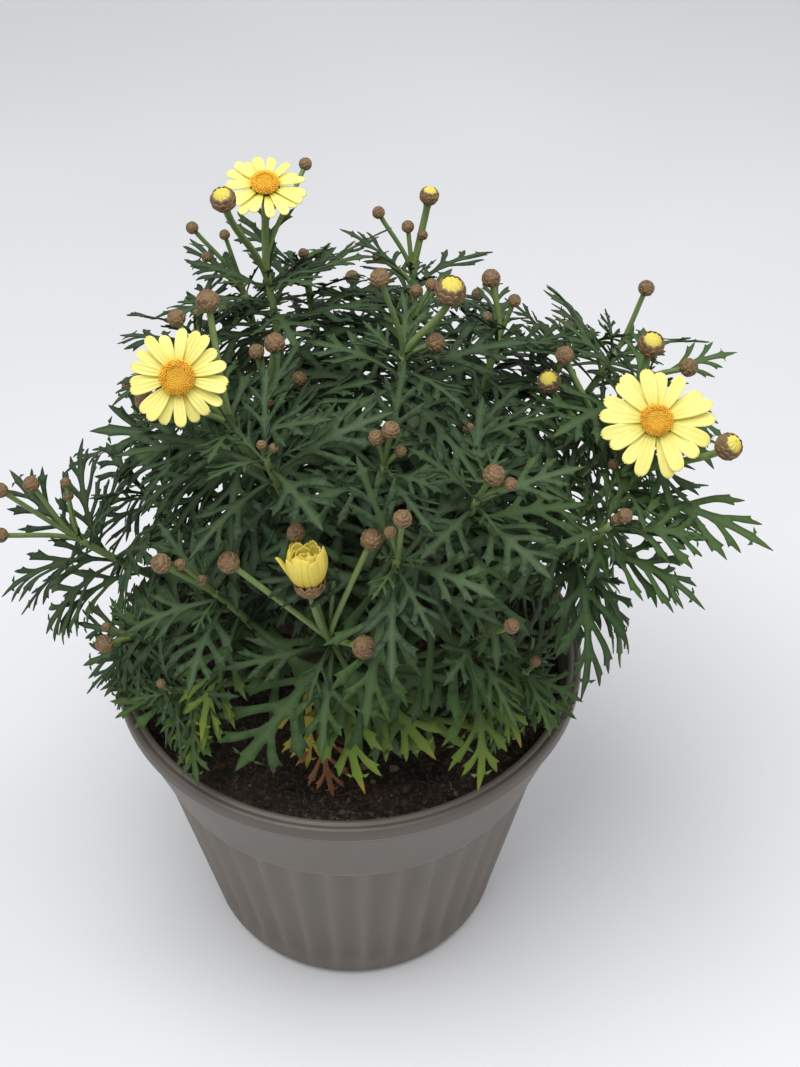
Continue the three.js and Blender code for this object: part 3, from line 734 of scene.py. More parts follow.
# Each old leaf: its foot, its tip and its droop, and its two colours
OLD_LEAVES = [
    ("yellow_leaf", ((-18, -62, 228), (-14, -86, 184), 40), (150, 142, 44), (182, 160, 60)),
    ("brown_leaf", ((-14, -66, 200), (-8, -95, 172), 60), (150, 98, 62), (118, 72, 44)),
]


# Pot

def wall_radius(z):
    if z < COLLAR_BOTTOM_Z:
        return mix((BASE_RADIUS, COLLAR_BOTTOM_RADIUS), z / COLLAR_BOTTOM_Z)
    rim_bottom = POT_HEIGHT - RIM_HEIGHT
    share = (z - COLLAR_BOTTOM_Z) / (rim_bottom - COLLAR_BOTTOM_Z)
    return mix((COLLAR_BOTTOM_RADIUS, RIM_RADIUS - RIM_STEP), share)


def inner_radius(z):
    bend = wall_radius(WALL_BEND_Z) - WALL
    if z <= COLLAR_BOTTOM_Z:
        return wall_radius(z) - FLUTED_WALL
    return mix((bend, RIM_INNER_RADIUS), (z - WALL_BEND_Z) / (POT_HEIGHT - WALL_BEND_Z))


def flute_depth(points):
    """How deep the flutes are at each point of the wall's outer side, with sharp ridges between."""
    radius = np.hypot(points[:, 0], points[:, 1])
    z = points[:, 2]
    wall = np.array([wall_radius(height) for height in z])
    fade_top = ramp(z, FLUTE_TOP_Z, FLUTE_TOP_Z - 1.5)
    fade_foot = ramp(z, FLUTE_BOTTOM_Z, FLUTE_BOTTOM_Z + 14)
    outside = radius > wall - WALL / 2
    wave = np.abs(np.cos(FLUTE_COUNT / 2 * np.arctan2(points[:, 1], points[:, 0])))
    return FLUTE_DEPTH * wave * np.sqrt(fade_foot) * fade_top * outside


def pot_profile():
    """Radius and height from the middle of the base, up the outside, over the rim and down inside."""
    foot = BASE_RADIUS - BASE_EDGE
    profile = [(0.0, FOOT_RISE), (40, FOOT_RISE), (BASE_RADIUS - 9, 1.2), (BASE_RADIUS - 8, 0), (foot, 0)]
    for step in range(1, BASE_EDGE_STEPS + 1):
        angle = math.radians(90 * step / BASE_EDGE_STEPS)
        profile.append((foot + BASE_EDGE * math.sin(angle), BASE_EDGE * (1 - math.cos(angle))))
    for low, high, count in FLUTED_HEIGHTS:
        profile += [(wall_radius(z), z) for z in np.linspace(low, high, count)]
    profile += [(wall_radius(at) + out, z) for at, out, z in COLLAR_EDGE]
    top = POT_HEIGHT - RIM_HEIGHT - 1
    profile += [(wall_radius(z) + 0.4, z) for z in np.linspace(COLLAR_BOTTOM_Z + 4, top, 12)]
    profile += [(RIM_RADIUS + out, POT_HEIGHT + up) for out, up in RIM_SECTION]
    profile += [(inner_radius(z), z) for z in INNER_HEIGHTS]
    return profile + [(BASE_RADIUS - 8, FLOOR_RISE), (0.0, FLOOR_RISE)]


def add_pot(paint):
    pot = turned(pot_profile(), FLUTE_COUNT * SIDES_PER_FLUTE)
    depth = flute_depth(pot.points)
    radius = np.hypot(pot.points[:, 0], pot.points[:, 1])
    pot.points[:, :2] *= (1 - depth / np.maximum(radius, 1))[:, None]
    pot.tone[:] = 0
    # The flute depth, which the pot's paint darkens as painted shade in the flutes.
    pot.tone[:, 0] = depth / FLUTE_DEPTH
    add_piece("pot_fine", [pot], paint, ["pot"])


# Soil

def lump(chance, radius, squash):
    """An uneven closed lump about the origin."""
    rows, sides = 4, 6
    points = []
    for row in range(rows):
        tilt = math.pi * (row + 0.02) / (rows - 0.96)
        for side in range(sides):
            angle = 2 * math.pi * side / sides
            size = radius * chance.uniform(0.7, 1.25)
            points.append((*polar(math.sin(tilt) * size, angle), math.cos(tilt) * size * squash))
    return Shape(points, grid_faces(rows, sides, closed=True)[:, ::-1])


def soil_height(x, y):
    hump = SOIL_HUMP * np.sin(x / SOIL_WAVE + 1) * np.cos(y / SOIL_WAVE)
    fine = 0.9 * np.sin(x / 3.1 + 2 * np.sin(y / 5.3)) * np.sin(y / 2.7 + 1.3 * np.sin(x / 4.1))
    crumbs = 0.7 * np.sin(x * 0.83 + 1.7 * np.sin(y * 0.61)) * np.sin(y * 0.93 + np.sin(x * 0.71))
    edge = ramp(np.hypot(x, y), SOIL_RADIUS, SOIL_RADIUS - 10)
    return SOIL_Z + (hump + fine + crumbs) * edge - 2.0 * (1 - edge)


def crumb(chance):
    """One crumb of soil at a place on the surface."""
    angle = chance.uniform(0, 2 * math.pi)
    x, y = polar((SOIL_RADIUS - 3) * math.sqrt(chance.random()), angle)
    size = 0.6 + 2.6 * chance.random() ** 4
    shape = lump(chance, size, chance.uniform(0.5, 0.9))
    axes = frame_facing([chance.uniform(-0.5, 0.5), chance.uniform(-0.5, 0.5), 1], chance.uniform(0, 360))
    shape = shape.placed(axes, (x, y, float(soil_height(x, y)) + 0.25 * size))
    shape.tone[:, 0] = chance.random() ** 2.5
    return shape


def fibre(chance):
    """One thin fibre that wanders over the surface."""
    angle = chance.uniform(0, 2 * math.pi)
    reach = (SOIL_RADIUS - 12) * math.sqrt(chance.random())
    heading = chance.uniform(0, 2 * math.pi)
    step = chance.uniform(4, 14) / FIBRE_STEPS
    at = np.array(polar(reach, angle))
    line = []
    for _ in range(FIBRE_STEPS):
        heading += chance.uniform(-0.5, 0.5)
        at = at + step * np.array(polar(1, heading))
        line.append((*at, float(soil_height(*at)) + chance.uniform(0.1, 1.2)))
    shape = tube(line, [chance.uniform(0.12, 0.4)] * FIBRE_STEPS, 4)
    shape.tone[:, 0] = chance.uniform(0.3, 1.0)
    return shape


def add_soil(paint):
    chance = random.Random(SEED)
    rings = np.linspace(0.3, SOIL_RADIUS, SOIL_RINGS)
    profile = [(radius, SOIL_Z) for radius in rings]
    profile += [(inner_radius(z) - 0.5, z) for z in (130, COLLAR_BOTTOM_Z, 4)] + [(0.3, 4)]

    def roughened(points):
        top = points[:, 2] > SOIL_Z - 1
        points[top, 2] = soil_height(points[top, 0], points[top, 1])
        return points

    surface = turned(profile, SOIL_SECTORS, roughened)
    surface.faces = surface.faces[:, ::-1]
    surface.tone[:] = (0.2, 0.5, 0, 0)
    shapes = [surface]
    shapes += [crumb(chance) for _ in range(CRUMB_COUNT)]
    shapes += [fibre(chance) for _ in range(FIBRE_COUNT)]
    add_piece("soil_fine", shapes, paint, ["soil"])


# Lines that the wood and the stems follow

def outward(shoot):
    away = unit(shoot.at - BUSH_HEART)
    return unit(away * (1 - UPWARD_PULL) + UP * UPWARD_PULL)


def shoot_line(shoot):
    fork = min(FORKS, key=lambda place: np.linalg.norm(place - shoot.at))
    bend = shoot.at - STEM_BEND_SHARE * np.linalg.norm(shoot.at - fork) * outward(shoot)
    return curve([fork, bend, shoot.at], STEM_STEPS)


def add_wood(paint):
    trunk_line = [(0, 0, z) for z in np.linspace(TRUNK_FOOT_Z, TRUNK_TOP_Z, TRUNK_STEPS)]
    shapes = [tube(trunk_line, np.linspace(TRUNK_RADIUS, TRUNK_RADIUS * 0.85, TRUNK_STEPS), 16)]
    top = np.array([0.0, 0.0, TRUNK_TOP_Z])
    for fork in FORKS:
        start = top - LIMB_DROP * UP
        bend = start + 0.6 * (fork - start) - LIMB_DROP * UP
        line = curve([start, bend, fork], LIMB_STEPS)
        shapes.append(tube(line, np.linspace(LIMB_RADIUS * 1.2, LIMB_RADIUS * 0.85, LIMB_STEPS), 12))
    add_piece("branches_fine", shapes, paint, ["branches"])


# Leaves

def softened(outline):
    """Cuts each soft corner of an outline once. A corner whose third value is 1 stays sharp."""
    rounded = []
    for index, (x, y, sharp) in enumerate(outline):
        if sharp or index in (0, len(outline) - 1):
            rounded.append((x, y, sharp))
            continue
        for other in (outline[index - 1], outline[index + 1]):
            rounded.append((0.72 * x + 0.28 * other[0], 0.72 * y + 0.28 * other[1], 0))
    return rounded


def lobe_edge(start, angle, length, half, rib_half, teeth, chance):
    """The edge of one lobe of a leaf, round from its lower root to its upper root."""
    tilt = math.radians(angle)
    along = np.array([math.cos(tilt), math.sin(tilt)])
    back = np.array([-math.sin(tilt), math.cos(tilt)])
    root = np.array([start, 0.0])

    def corner(share, out, sharp=0):
        x, y = root + along * share * length + back * out * half
        return (x, y, sharp)

    low = (rib_half - half * math.cos(tilt)) / math.sin(tilt) / length
    high = (rib_half + half * math.cos(tilt)) / math.sin(tilt) / length
    reach = chance.uniform(-0.03, 0.03)
    edge = [corner(low + 0.03, 0.85), corner(0.42, 0.9), corner(0.58 + reach, 1.15)]
    if teeth > 0:
        edge += [corner(0.80 + reach, 2.1, 1), corner(0.77 + reach, 0.9)]
    edge += [corner(0.90, 0.6), corner(1.0, 0.0, 1), corner(0.88, -0.6)]
    if teeth > 1:
        edge += [corner(0.80 - reach, -0.9), corner(0.79 - reach, -1.9, 1)]
    edge += [corner(0.60 - reach, -1.05), corner(0.42, -0.85), corner(high, -0.9)]
    return edge


def leaf_outline(lobes, size, chance):
    """The outline of a flat leaf one unit long, and its ribs as start, end and strength."""
    sides = []
    ribs = [((0.0, 0.0), (0.97, 0.0), 1.0)]
    wide = 0.034 * size
    for side in (1, -1):
        shift = chance.uniform(-0.02, 0.02)
        edge = [(0.0, 0.013, 0), (0.16, 0.017, 0)]
        for start, angle, length, half, teeth in lobes:
            place = start + shift + chance.uniform(-0.012, 0.012)
            tilt = angle + chance.uniform(-5, 5)
            reach = length * chance.uniform(0.88, 1.12)
            rib_half = 0.021 + 0.012 * place
            edge += lobe_edge(place, tilt, reach, half * size, rib_half, teeth, chance)
            x, y = polar(reach, math.radians(tilt))
            ribs.append(((place, 0.0), (place + x, side * y), LOBE_RIB_STRENGTH))
        last = lobes[-1][0] + 0.17
        edge += [(last, wide * 0.9, 0), (mix((last, 1), 0.4), wide * 1.25, 0), (0.855, 0.09 * size, 1)]
        edge += [(0.865, wide * 0.95, 0), (0.94, wide * 0.5, 0)]
        sides.append([(x, side * y) for x, y, _ in softened(edge)])
    return sides[0] + [(1.0, 0.0)] + sides[1][::-1], ribs


def inner_points(outline, ribs, chance):
    """Points within an outline: an uneven lattice, and rows of points along the ribs."""
    points = []
    for row in range(17):
        for column in range(-9, 10):
            x = (row + 0.5 * (column % 2)) * LEAF_SPACING
            points.append((x + chance.uniform(-0.004, 0.004), column * LEAF_SPACING * 0.8 + 0.001))
    for start, end, _ in ribs:
        count = int(math.dist(start, end) / LEAF_SPACING)
        points += [tuple(mix((np.array(start), np.array(end)), (k + 0.5) / count)) for k in range(count)]
    border = np.array(outline)
    return [point for point in points if np.min(np.hypot(*(border - point).T)) > LEAF_EDGE_GAP]


def rib_strength(flat, ribs):
    """How strongly a rib shows at each point of a flat leaf."""
    strength = np.zeros(len(flat))
    for start, end, weight in ribs:
        a, b = np.array(start), np.array(end)
        share = np.clip((flat - a) @ (b - a) / ((b - a) @ (b - a)), 0, 1)
        gap = np.hypot(*(flat - a - share[:, None] * (b - a)).T)
        width = 0.014 * (1.3 - 0.7 * share)
        strength = np.maximum(strength, weight * np.exp(-((gap / width) ** 2)))
    return strength


def leaf_sheet(lobes, size, chance):
    """A flat leaf one unit long, as points, triangles, rim edges and the ribs' strength."""
    outline, ribs = leaf_outline(lobes, size, chance)
    points = [Vector(point) for point in outline + inner_points(outline, ribs, chance)]
    rim = [(k, (k + 1) % len(outline)) for k in range(len(outline))]
    flat, _, faces, *_ = delaunay_2d_cdt(points, rim, [], 1, 1e-5)
    used, faces = np.unique(np.array(faces), return_inverse=True)
    faces = faces.reshape(-1, 3)
    flat = np.array([tuple(point) for point in flat])[used]
    return flat, faces, rim_edges(faces), rib_strength(flat, ribs)


# Each lobe of a leaf: start along the rib, angle, length, half width and number of teeth
OLD_LOBES = [(0.28, 46, 0.42, 0.023, 2), (0.46, 40, 0.42, 0.026, 2), (0.65, 34, 0.28, 0.023, 1)]
FULL_LOBES = [(0.30, 44, 0.42, 0.024, 2), (0.48, 40, 0.38, 0.025, 2), (0.66, 34, 0.26, 0.023, 1)]
YOUNG_LOBES = [(0.38, 40, 0.38, 0.027, 1), (0.58, 35, 0.29, 0.025, 1)]
BUD_LOBES = [(0.45, 33, 0.28, 0.036, 0)]


def leaf_sheets(chance):
    """Leaf sheets by age, from the youngest to the oldest, several of each."""
    kinds = [BUD_LOBES, YOUNG_LOBES, FULL_LOBES, OLD_LOBES]
    return [[leaf_sheet(lobes, size, chance) for size in (0.9, 1.0, 1.12)] for lobes in kinds]


def bent_leaf(sheet, length, droop, value, warmth, chance):
    """A leaf sheet at its real length, arched down along its rib and waved across it."""
    flat, faces, edges, strength = sheet
    x = flat[:, 0] * length
    y = flat[:, 1] * length * chance.uniform(0.85, 1.12)
    side = np.abs(flat[:, 1])
    fold = chance.uniform(-0.1, 0.35)
    z = fold * side * length * 0.6 - 0.9 * fold * side**2 * length
    phase = chance.uniform(0, 6.28)
    waves = np.sin(flat[:, 0] * 9 + phase) * np.sin(flat[:, 1] * 11 + phase * 1.7)
    z = z + 0.035 * length * waves * np.clip(side * 6, 0, 1) - 0.35 * strength
    z = z - chance.uniform(0.0, 0.10) * length * np.clip(side - 0.1, 0, 1) * 2
    twist = math.radians(chance.uniform(-28, 28)) * np.clip(flat[:, 0], 0, 1) ** 1.5
    y, z = twisted(y, z, twist)
    y = y + chance.uniform(-0.12, 0.12) * flat[:, 0] ** 2 * length
    tones = tone_rows(value, flat[:, 0], strength, warmth)
    return plate(arched(x, y, z, max(droop, 4), length), faces, edges, LEAF_THICKNESS, tones)


def aim(line, depth, droop, target):
    """The length, spread and turn that bring a leaf's tip to a place."""
    place, axis = at_length(line, depth)
    chord = np.array(target, dtype=float) - place
    side = unit(np.cross(UP, axis))
    half_droop = math.radians(droop) / 2
    size = np.linalg.norm(chord)
    spread = math.acos(np.dot(axis, chord) / size) - half_droop
    turn = math.atan2(np.dot(chord, np.cross(axis, side)), np.dot(chord, side))
    return size * half_droop / math.sin(half_droop), math.degrees(spread), math.degrees(turn)


def leaf_frame(line, depth, spread, turn):
    """Rows and place of the frame of a leaf that leaves a line at a distance before its end."""
    place, axis = at_length(line, depth)
    side = turned_about(unit(np.cross(UP, axis)), axis, turn)
    lean = math.radians(spread)
    forward = axis * math.cos(lean) + side * math.sin(lean)
    face = axis * math.sin(lean) - side * math.cos(lean)
    return np.array([forward, np.cross(face, forward), face]), place


def leaf_tip(axes, place, length, droop):
    bend = math.radians(droop)
    return place + axes[0] * length * math.sin(bend) / bend - axes[2] * length * (1 - math.cos(bend)) / bend


def warmth_at(tip, share, chance):
    """How green or yellow a leaf is: low, front, right-hand and older leaves are warmer."""
    x, y, z = tip
    age = ramp(z, 250, 210) * (0.35 + 0.65 * ramp(y, -65, -95)) * share * chance.uniform(0.55, 1.15)
    right = ramp(x, 70, 140)
    near = ramp(y, -60, -100) * ramp(z, 300, 240)
    return float(np.clip(age + 0.35 * right + 0.2 * near + 0.25 * share * chance.random(), 0, 1))


def clear_places():
    """Each head that leaves keep clear of, as its centre and the radius kept clear."""
    places = list(CLEAR_PLACES)
    for shoot in SHOOTS:
        for head in shoot.heads:
            radius = HEAD_CLEARANCE.get(head.kind) or RAY_START + head.length
            places.append((shoot.at + head.to, radius + LOBE_CLEARANCE))
    return places


def hides_head(axes, place, length, droop):
    """Whether a leaf passes before a head on the side from which the plant is shown."""
    points = np.array([leaf_tip(axes, place, length * share, droop * share) for share in (0.4, 0.6, 0.8, 1)])
    for centre, radius in clear_places():
        away = points - centre
        ahead = away @ SHOW_SIDE
        gap = np.linalg.norm(away - np.outer(ahead, SHOW_SIDE), axis=1)
        if np.any((gap < radius) & (ahead > -4)):
            return True
    return False


def outer_leaf(shoot, index, order, line, sheets, chance):
    """One of a shoot's leaves, from the youngest to the oldest. Every fourth one is coarse: it is
    never turned clear of a head, and it may reach for a set place."""
    share = order / (LEAVES_PER_SHOOT - 1)
    coarse = share * (COARSE_LEAVES - 1)
    is_coarse = coarse == int(coarse)
    turn = COARSE_TURN * coarse + FILL_TURN * order + SHOOT_TURN * index
    length = mix(LEAF_LENGTH, share) * chance.uniform(0.89, 1.11)
    length *= LOW_SHOOT_SHARE if shoot.at[2] < LOW_SHOOT_Z else 1
    spread = mix(LEAF_SPREAD if is_coarse else FILL_SPREAD, share) + chance.uniform(-7, 7)
    droop = mix(LEAF_DROOP, share) * chance.uniform(0.75, 1.25)
    depth = mix(LEAF_DEPTH, share)
    target = shoot.reach[COARSE_LEAVES - 1 - int(coarse):][:1] if is_coarse else ()
    if target:
        length, spread, turn = aim(line, depth, droop, target[0])
    axes, place = leaf_frame(line, depth, spread, turn)
    while not target and leaf_tip(axes, place, length, droop)[2] < LOWEST_TIP_Z and spread > LEAST_SPREAD:
        spread -= LIFT_STEP
        droop *= 0.85
        length *= 0.97
        axes, place = leaf_frame(line, depth, spread, turn)
    tries = 0 if is_coarse else CLEAR_TRIES
    while tries > 0 and hides_head(axes, place, length, droop):
        tries -= 1
        turn += CLEAR_TURN
        length *= 0.96
        axes, place = leaf_frame(line, depth, spread, turn)
    kind = min(3, int(1 + 3 * share + chance.uniform(-0.4, 0.4)))
    sheet = chance.choice(sheets[3 if target else max(kind, 1)])
    value = chance.random()
    warmth = warmth_at(leaf_tip(axes, place, length, droop), share, chance)
    return bent_leaf(sheet, length, droop, value, warmth, chance).placed(axes, place)


def core_leaf(index, order, line, sheets, chance):
    """One of the small leaves that crowd at a shoot's end."""
    share = order / (CORE_LEAVES - 1)
    length = mix(CORE_LENGTH, share) * chance.uniform(0.85, 1.15)
    spread = mix(CORE_SPREAD, share) + chance.uniform(-8, 8)
    turn = COARSE_TURN * (order + 0.5) + SHOOT_TURN * index
    axes, place = leaf_frame(line, 0.5 + 1.5 * order, spread, turn)
    value = chance.random()
    warmth = 0.25 * chance.random()
    sheet = chance.choice(sheets[0 if order < 3 else 1])
    return bent_leaf(sheet, length, CORE_DROOP, value, warmth, chance).placed(axes, place)


def shoot_leaves(shoot, index, sheets):
    chance = random.Random(SEED + index)
    line = shoot_line(shoot)
    outer = [outer_leaf(shoot, index, order, line, sheets, chance) for order in range(LEAVES_PER_SHOOT)]
    return outer + [core_leaf(index, order, line, sheets, chance) for order in range(CORE_LEAVES)]


def hanging_leaf(foot, tip, droop, sheet, chance):
    """A leaf from one place to another, with its upper face up."""
    chord = np.array(tip, dtype=float) - foot
    along = unit(chord)
    above = unit(UP - along * along[2])
    half_droop = math.radians(droop) / 2
    forward = along * math.cos(half_droop) + above * math.sin(half_droop)
    face = above * math.cos(half_droop) - along * math.sin(half_droop)
    length = np.linalg.norm(chord) * half_droop / math.sin(half_droop)
    leaf = bent_leaf(sheet, length, droop, chance.random(), 1, chance)
    return leaf.placed(np.array([forward, np.cross(face, forward), face]), np.array(foot, dtype=float))


def add_old_leaves(sheets):
    """The two old leaves that hang low at the front."""
    chance = random.Random(SEED)
    for name, (foot, tip, droop), inner, outer in OLD_LEAVES:
        leaf = hanging_leaf(foot, tip, droop, sheets[3][0], chance)
        add_piece(name, [leaf], old_leaf_paint(f"{name}_paint", inner, outer))


# Stems and stalks

def shoot_stem(shoot):
    line = shoot_line(shoot)
    stem = tube(line, np.linspace(STEM_RADIUS, STEM_TOP_RADIUS, len(line)), 10)
    stem.tone[:, 0] = 0.4
    stem.tone[:, 3] = np.clip(1 - 1.6 * stem.tone[:, 1], 0, 1)
    return stem


def stalk(shoot, order, end, arriving, radius, tone):
    leaving = outward(shoot)
    start = shoot.at - leaving * (STALK_ROOT + STALK_STEP * order)
    reach = STALK_BEND_SHARE * np.linalg.norm(end - start)
    line = curve([start, start + reach * leaving, end - reach * arriving, end], STALK_STEPS)
    radii = np.full(STALK_STEPS, radius)
    radii[-1] *= 1.25
    shape = tube(line, radii, 8)
    shape.tone[:, 0] = tone
    shape.tone[:, 3] = 0.0
    return shape


# Buds and cups

def bract(centre_tilt, wide, long, ball_radius, lift, chance):
    """One papery scale that lies on a ball. Tilt is measured from the ball's top."""
    rows, columns = 4, 4
    points, tone = [], []
    value = chance.random()
    for row in range(rows):
        share = row / (rows - 1)
        tilt = centre_tilt - long * share
        half = wide * (math.sin(math.pi * (0.22 + 0.74 * share)) ** 0.8)
        for column in range(columns):
            side = 2 * column / (columns - 1) - 1
            radius = ball_radius * (1 + lift * share**1.5 + 0.03 - 0.035 * side * side)
            angle = half * side / max(math.sin(tilt), 0.3)
            points.append((*polar(radius * math.sin(tilt), angle), radius * math.cos(tilt)))
            edge = max(abs(side), share) ** 4
            tone.append((value, share, edge, 0))
    faces = grid_faces(rows, columns)[:, ::-1]
    return plate(np.array(points), faces, rim_edges(faces), 0.22, np.array(tone))


def bract_rows(radius, tilts, counts, chance, lift=0.05):
    """Rows of overlapping scales, from the lowest to the highest tilt of each row's middle."""
    shapes = []
    for row, (tilt, count) in enumerate(zip(tilts, counts)):
        wide = 0.72 * 2 * math.pi / count * max(math.sin(tilt), 0.35)
        for k in range(count):
            angle = 360 * (k + 0.5 * (row % 2)) / count + chance.uniform(-5, 5)
            scale = bract(tilt, wide, 0.62, radius, lift * chance.uniform(0.4, 1.6), chance)
            shapes.append(scale.placed(turned_to(angle), (0, 0, 0)))
    return shapes


def ball(radius, squash, tone, rows=9, sides=14, top=0.0, bottom=math.pi):
    """A closed ball about the origin, squashed in height."""
    tilts = np.linspace(top + 0.01, bottom - 0.01, rows)
    profile = [(radius * math.sin(t), radius * math.cos(t) * squash) for t in tilts]
    shape = turned(profile, sides)
    shape.faces = shape.faces[:, ::-1]
    shape.tone[:] = tone
    return shape


def bud_shapes(diameter, chance):
    radius = BUD_SHARE * diameter / 2
    core = ball(radius * 0.94, 1.0, (0.6, 0.2, 0, 0))
    scales = SMALL_BUD_SCALES if diameter < SMALL_BUD else BUD_SCALES
    return [core] + bract_rows(radius * 0.96, *scales, chance)


def tip_shape(size, chance):
    """The yellow cone of folded rays that stands out of an opening bud."""
    radius = size / 2
    turn = chance.uniform(0, 6.28)

    def folded(points):
        angle = np.arctan2(points[:, 1], points[:, 0])
        height = points[:, 2] / radius
        wave = np.abs(np.sin(TIP_FOLDS / 2 * angle + turn + 0.9 * height))
        return widened(points, 0.86 + 0.16 * wave, 0.97 + 0.05 * wave)

    shape = turned([(r * radius, z * radius) for r, z in TIP_PROFILE], TIP_SIDES, folded)
    height = np.clip(shape.points[:, 2] / radius, 0, 1)
    shape.tone[:] = (0.5, 0, 0, 0)
    shape.tone[:, 1] = height
    return shape


# Blooms

def ray_sheet():
    """A flat ray one unit long and one wide, as a grid with its rim edges and grooves."""
    rows, columns = 15, 11
    points, groove = [], []
    for row in range(rows):
        share = row / (rows - 1)
        half = 0.5 * (0.42 + 0.58 * math.sin(min(share / 0.68, 1) * math.pi / 2))
        if share > 0.78:
            half *= math.sqrt(max(1 - ((share - 0.78) / 0.235) ** 2, 0.02))
        for column in range(columns):
            side = 2 * column / (columns - 1) - 1
            notch = 0.02 * math.cos(side * math.pi * 1.5) * max(share - 0.85, 0) / 0.15
            points.append((share + notch, side * half))
            depth = math.exp(-(((abs(side) - GROOVE_PLACE) / GROOVE_WIDTH) ** 2))
            groove.append(depth * math.sin(math.pi * min(share + 0.1, 1)))
    faces = grid_faces(rows, columns)
    return np.array(points), faces, rim_edges(faces), np.array(groove)


def bent_ray(sheet, length, width, rise, arch, curl, chance):
    """A ray along X from the origin, rising, arched down to its tip and curled across."""
    flat, faces, edges, groove = sheet
    along, side = flat.T
    z = -0.35 * groove + curl * width * side**2 * 4 * 0.25
    twist = math.radians(chance.uniform(-16, 16)) * along
    y, z = twisted(side * width, z, twist)
    y = y + chance.uniform(-0.05, 0.05) * length * along**2
    points = arched(along * length, y, z, arch, length)
    lift = np.array(Matrix.Rotation(math.radians(-rise), 3, "Y"))
    tones = tone_rows(chance.random(), along, groove, 0)
    return plate(points @ lift.T, faces, edges, RAY_THICKNESS, tones)


def ring_of_rays(sheet, chance, count, length, width, start, height, rise, arch, curl, first=0.0):
    shapes = []
    for k in range(count):
        angle = 360 * (k + first + chance.uniform(-0.16, 0.16)) / count
        long = length * chance.uniform(0.9, 1.06)
        wide = width * chance.uniform(0.88, 1.06)
        lifted = rise + chance.uniform(-4, 4)
        ray = bent_ray(sheet, long, wide, lifted, arch + chance.uniform(-10, 10), curl, chance)
        ray.points += (start, 0, height)
        shapes.append(ray.placed(turned_to(angle), (0, 0, 0)))
    return shapes


def bloom_rays(head, sheet, chance):
    size = {
        "count": head.rays // 2,
        "length": head.length,
        "width": RAY_WIDTH_SHARE * head.length + RAY_EXTRA_WIDTH,
    }
    lower = ring_of_rays(sheet, chance, **size, **LOWER_RAYS)
    return lower + ring_of_rays(sheet, chance, **size, **UPPER_RAYS)


def floret(radius, height, lobes, chance, tone):
    """A small open floret with a lobed mouth, or a closed round one where lobes is 0."""
    profile = OPEN_FLORET if lobes else CLOSED_FLORET
    turn = chance.uniform(0, 6.28)

    def lobed(points):
        if not lobes:
            return points
        angle = np.arctan2(points[:, 1], points[:, 0])
        scale = 1 + 0.22 * np.cos(lobes * angle + turn) * (points[:, 2] > 0.6 * height)
        return widened(points, scale)

    shape = turned([(r * radius, z * height) for r, z in profile], FLORET_SIDES, lobed)
    shape.tone[:] = tone
    shape.tone[:, 1] = np.clip(shape.points[:, 2] / height, 0, 1)
    return shape


def disc_shapes(scale, chance):
    """A dome of florets set by the golden angle: open ones at its rim and closed ones within."""
    radius, height = DISC_RADIUS * scale, DISC_HEIGHT * scale
    profile = [(radius * r, DISC_BOTTOM + z * height) for r, z in DOME]
    dome = turned(profile + [(0.02, DISC_BOTTOM + 0.5 * height)], 30)
    dome.tone[:] = (0.3, 0.1, 0, 0.2)
    shapes = [dome]
    for k in range(FLORET_COUNT):
        share = math.sqrt((k + 0.5) / FLORET_COUNT)
        angle = k * math.radians(COARSE_TURN)
        out = radius * 0.95 * share
        rise = 0.66 * height * (1 - max(share - 0.7, 0) ** 2 * 6)
        hollow = 0.16 * height * max(0.4 - share, 0) / 0.4
        lean = 0.75 * share**3
        facing = (*polar(lean, angle), 1)
        is_open = share > OPEN_FLORET_SHARE
        size, tall = OPEN_FLORET_SIZE if is_open else CLOSED_FLORET_SIZE
        size *= scale * chance.uniform(0.85, 1.15)
        tall *= scale * chance.uniform(0.8, 1.2)
        tone = (chance.random(), 0, 0, ramp(share, 0.5, 0.75))
        one = floret(size, tall, 5 if is_open else 0, chance, tone)
        place = (*polar(out, angle), DISC_BOTTOM + (rise - hollow) - 0.15)
        shapes.append(one.placed(frame_facing(facing, chance.uniform(0, 360)), place))
    return shapes


def opening_rays(sheet, chance):
    """A goblet of upright rays that lean in at the top, with two that stand out of it."""
    shapes = []
    for ring in OPENING_RINGS:
        shapes += ring_of_rays(sheet, chance, **ring)
    return shapes


def cup_shapes(radius, chance):
    """The scaly cup below a head."""
    low = ball(radius, 1.08, (0.4, 0.15, 0, 0), top=math.pi / 2)
    return [low] + bract_rows(radius, *CUP_SCALES, chance)


# Assembly

def moved(shapes, axes, place):
    return [shape.placed(axes, place) for shape in shapes]


def add_head(shoot, head, order, ray, paints, chance):
    """Adds a head's own pieces, and gives the stalk and the scales that belong to its shoot."""
    name = shoot.name
    centre = shoot.at + head.to
    axes = frame_facing(head.facing)
    radius = head.size / 2
    stems = [stalk(shoot, order, centre - 0.8 * radius * axes[2], axes[2], BLOOM_STALK_RADIUS, 0.5)]
    scales = []

    def add(part, shapes, material):
        add_piece(f"{part}_{name}_fine", moved(shapes, axes, centre), material, [f"{part}_{name}"])

    if head.kind == "tip":
        low = ball(radius * 0.94, 1.0, (0.5, 0.2, 0, 0), top=1.2)
        scales += moved([low] + bract_rows(radius * 0.97, *TIP_SCALES, chance), axes, centre)
        add("yellow_tip", [tip_shape(head.size, chance)], paints["opening"])
    elif head.kind == "opening":
        scales += moved(cup_shapes(radius * 0.98, chance), axes, centre)
        add("opening_rays", opening_rays(ray, chance), paints["opening"])
    else:
        stems += moved(cup_shapes(radius, chance), axes, centre)
        add("rays", bloom_rays(head, ray, chance), paints["ray"])
        disc_scale = SMALL_DISC_SHARE if head.length < SMALL_BLOOM_LENGTH else 1.0
        add("disc", disc_shapes(disc_scale, chance), paints["disc"])
    return stems, scales


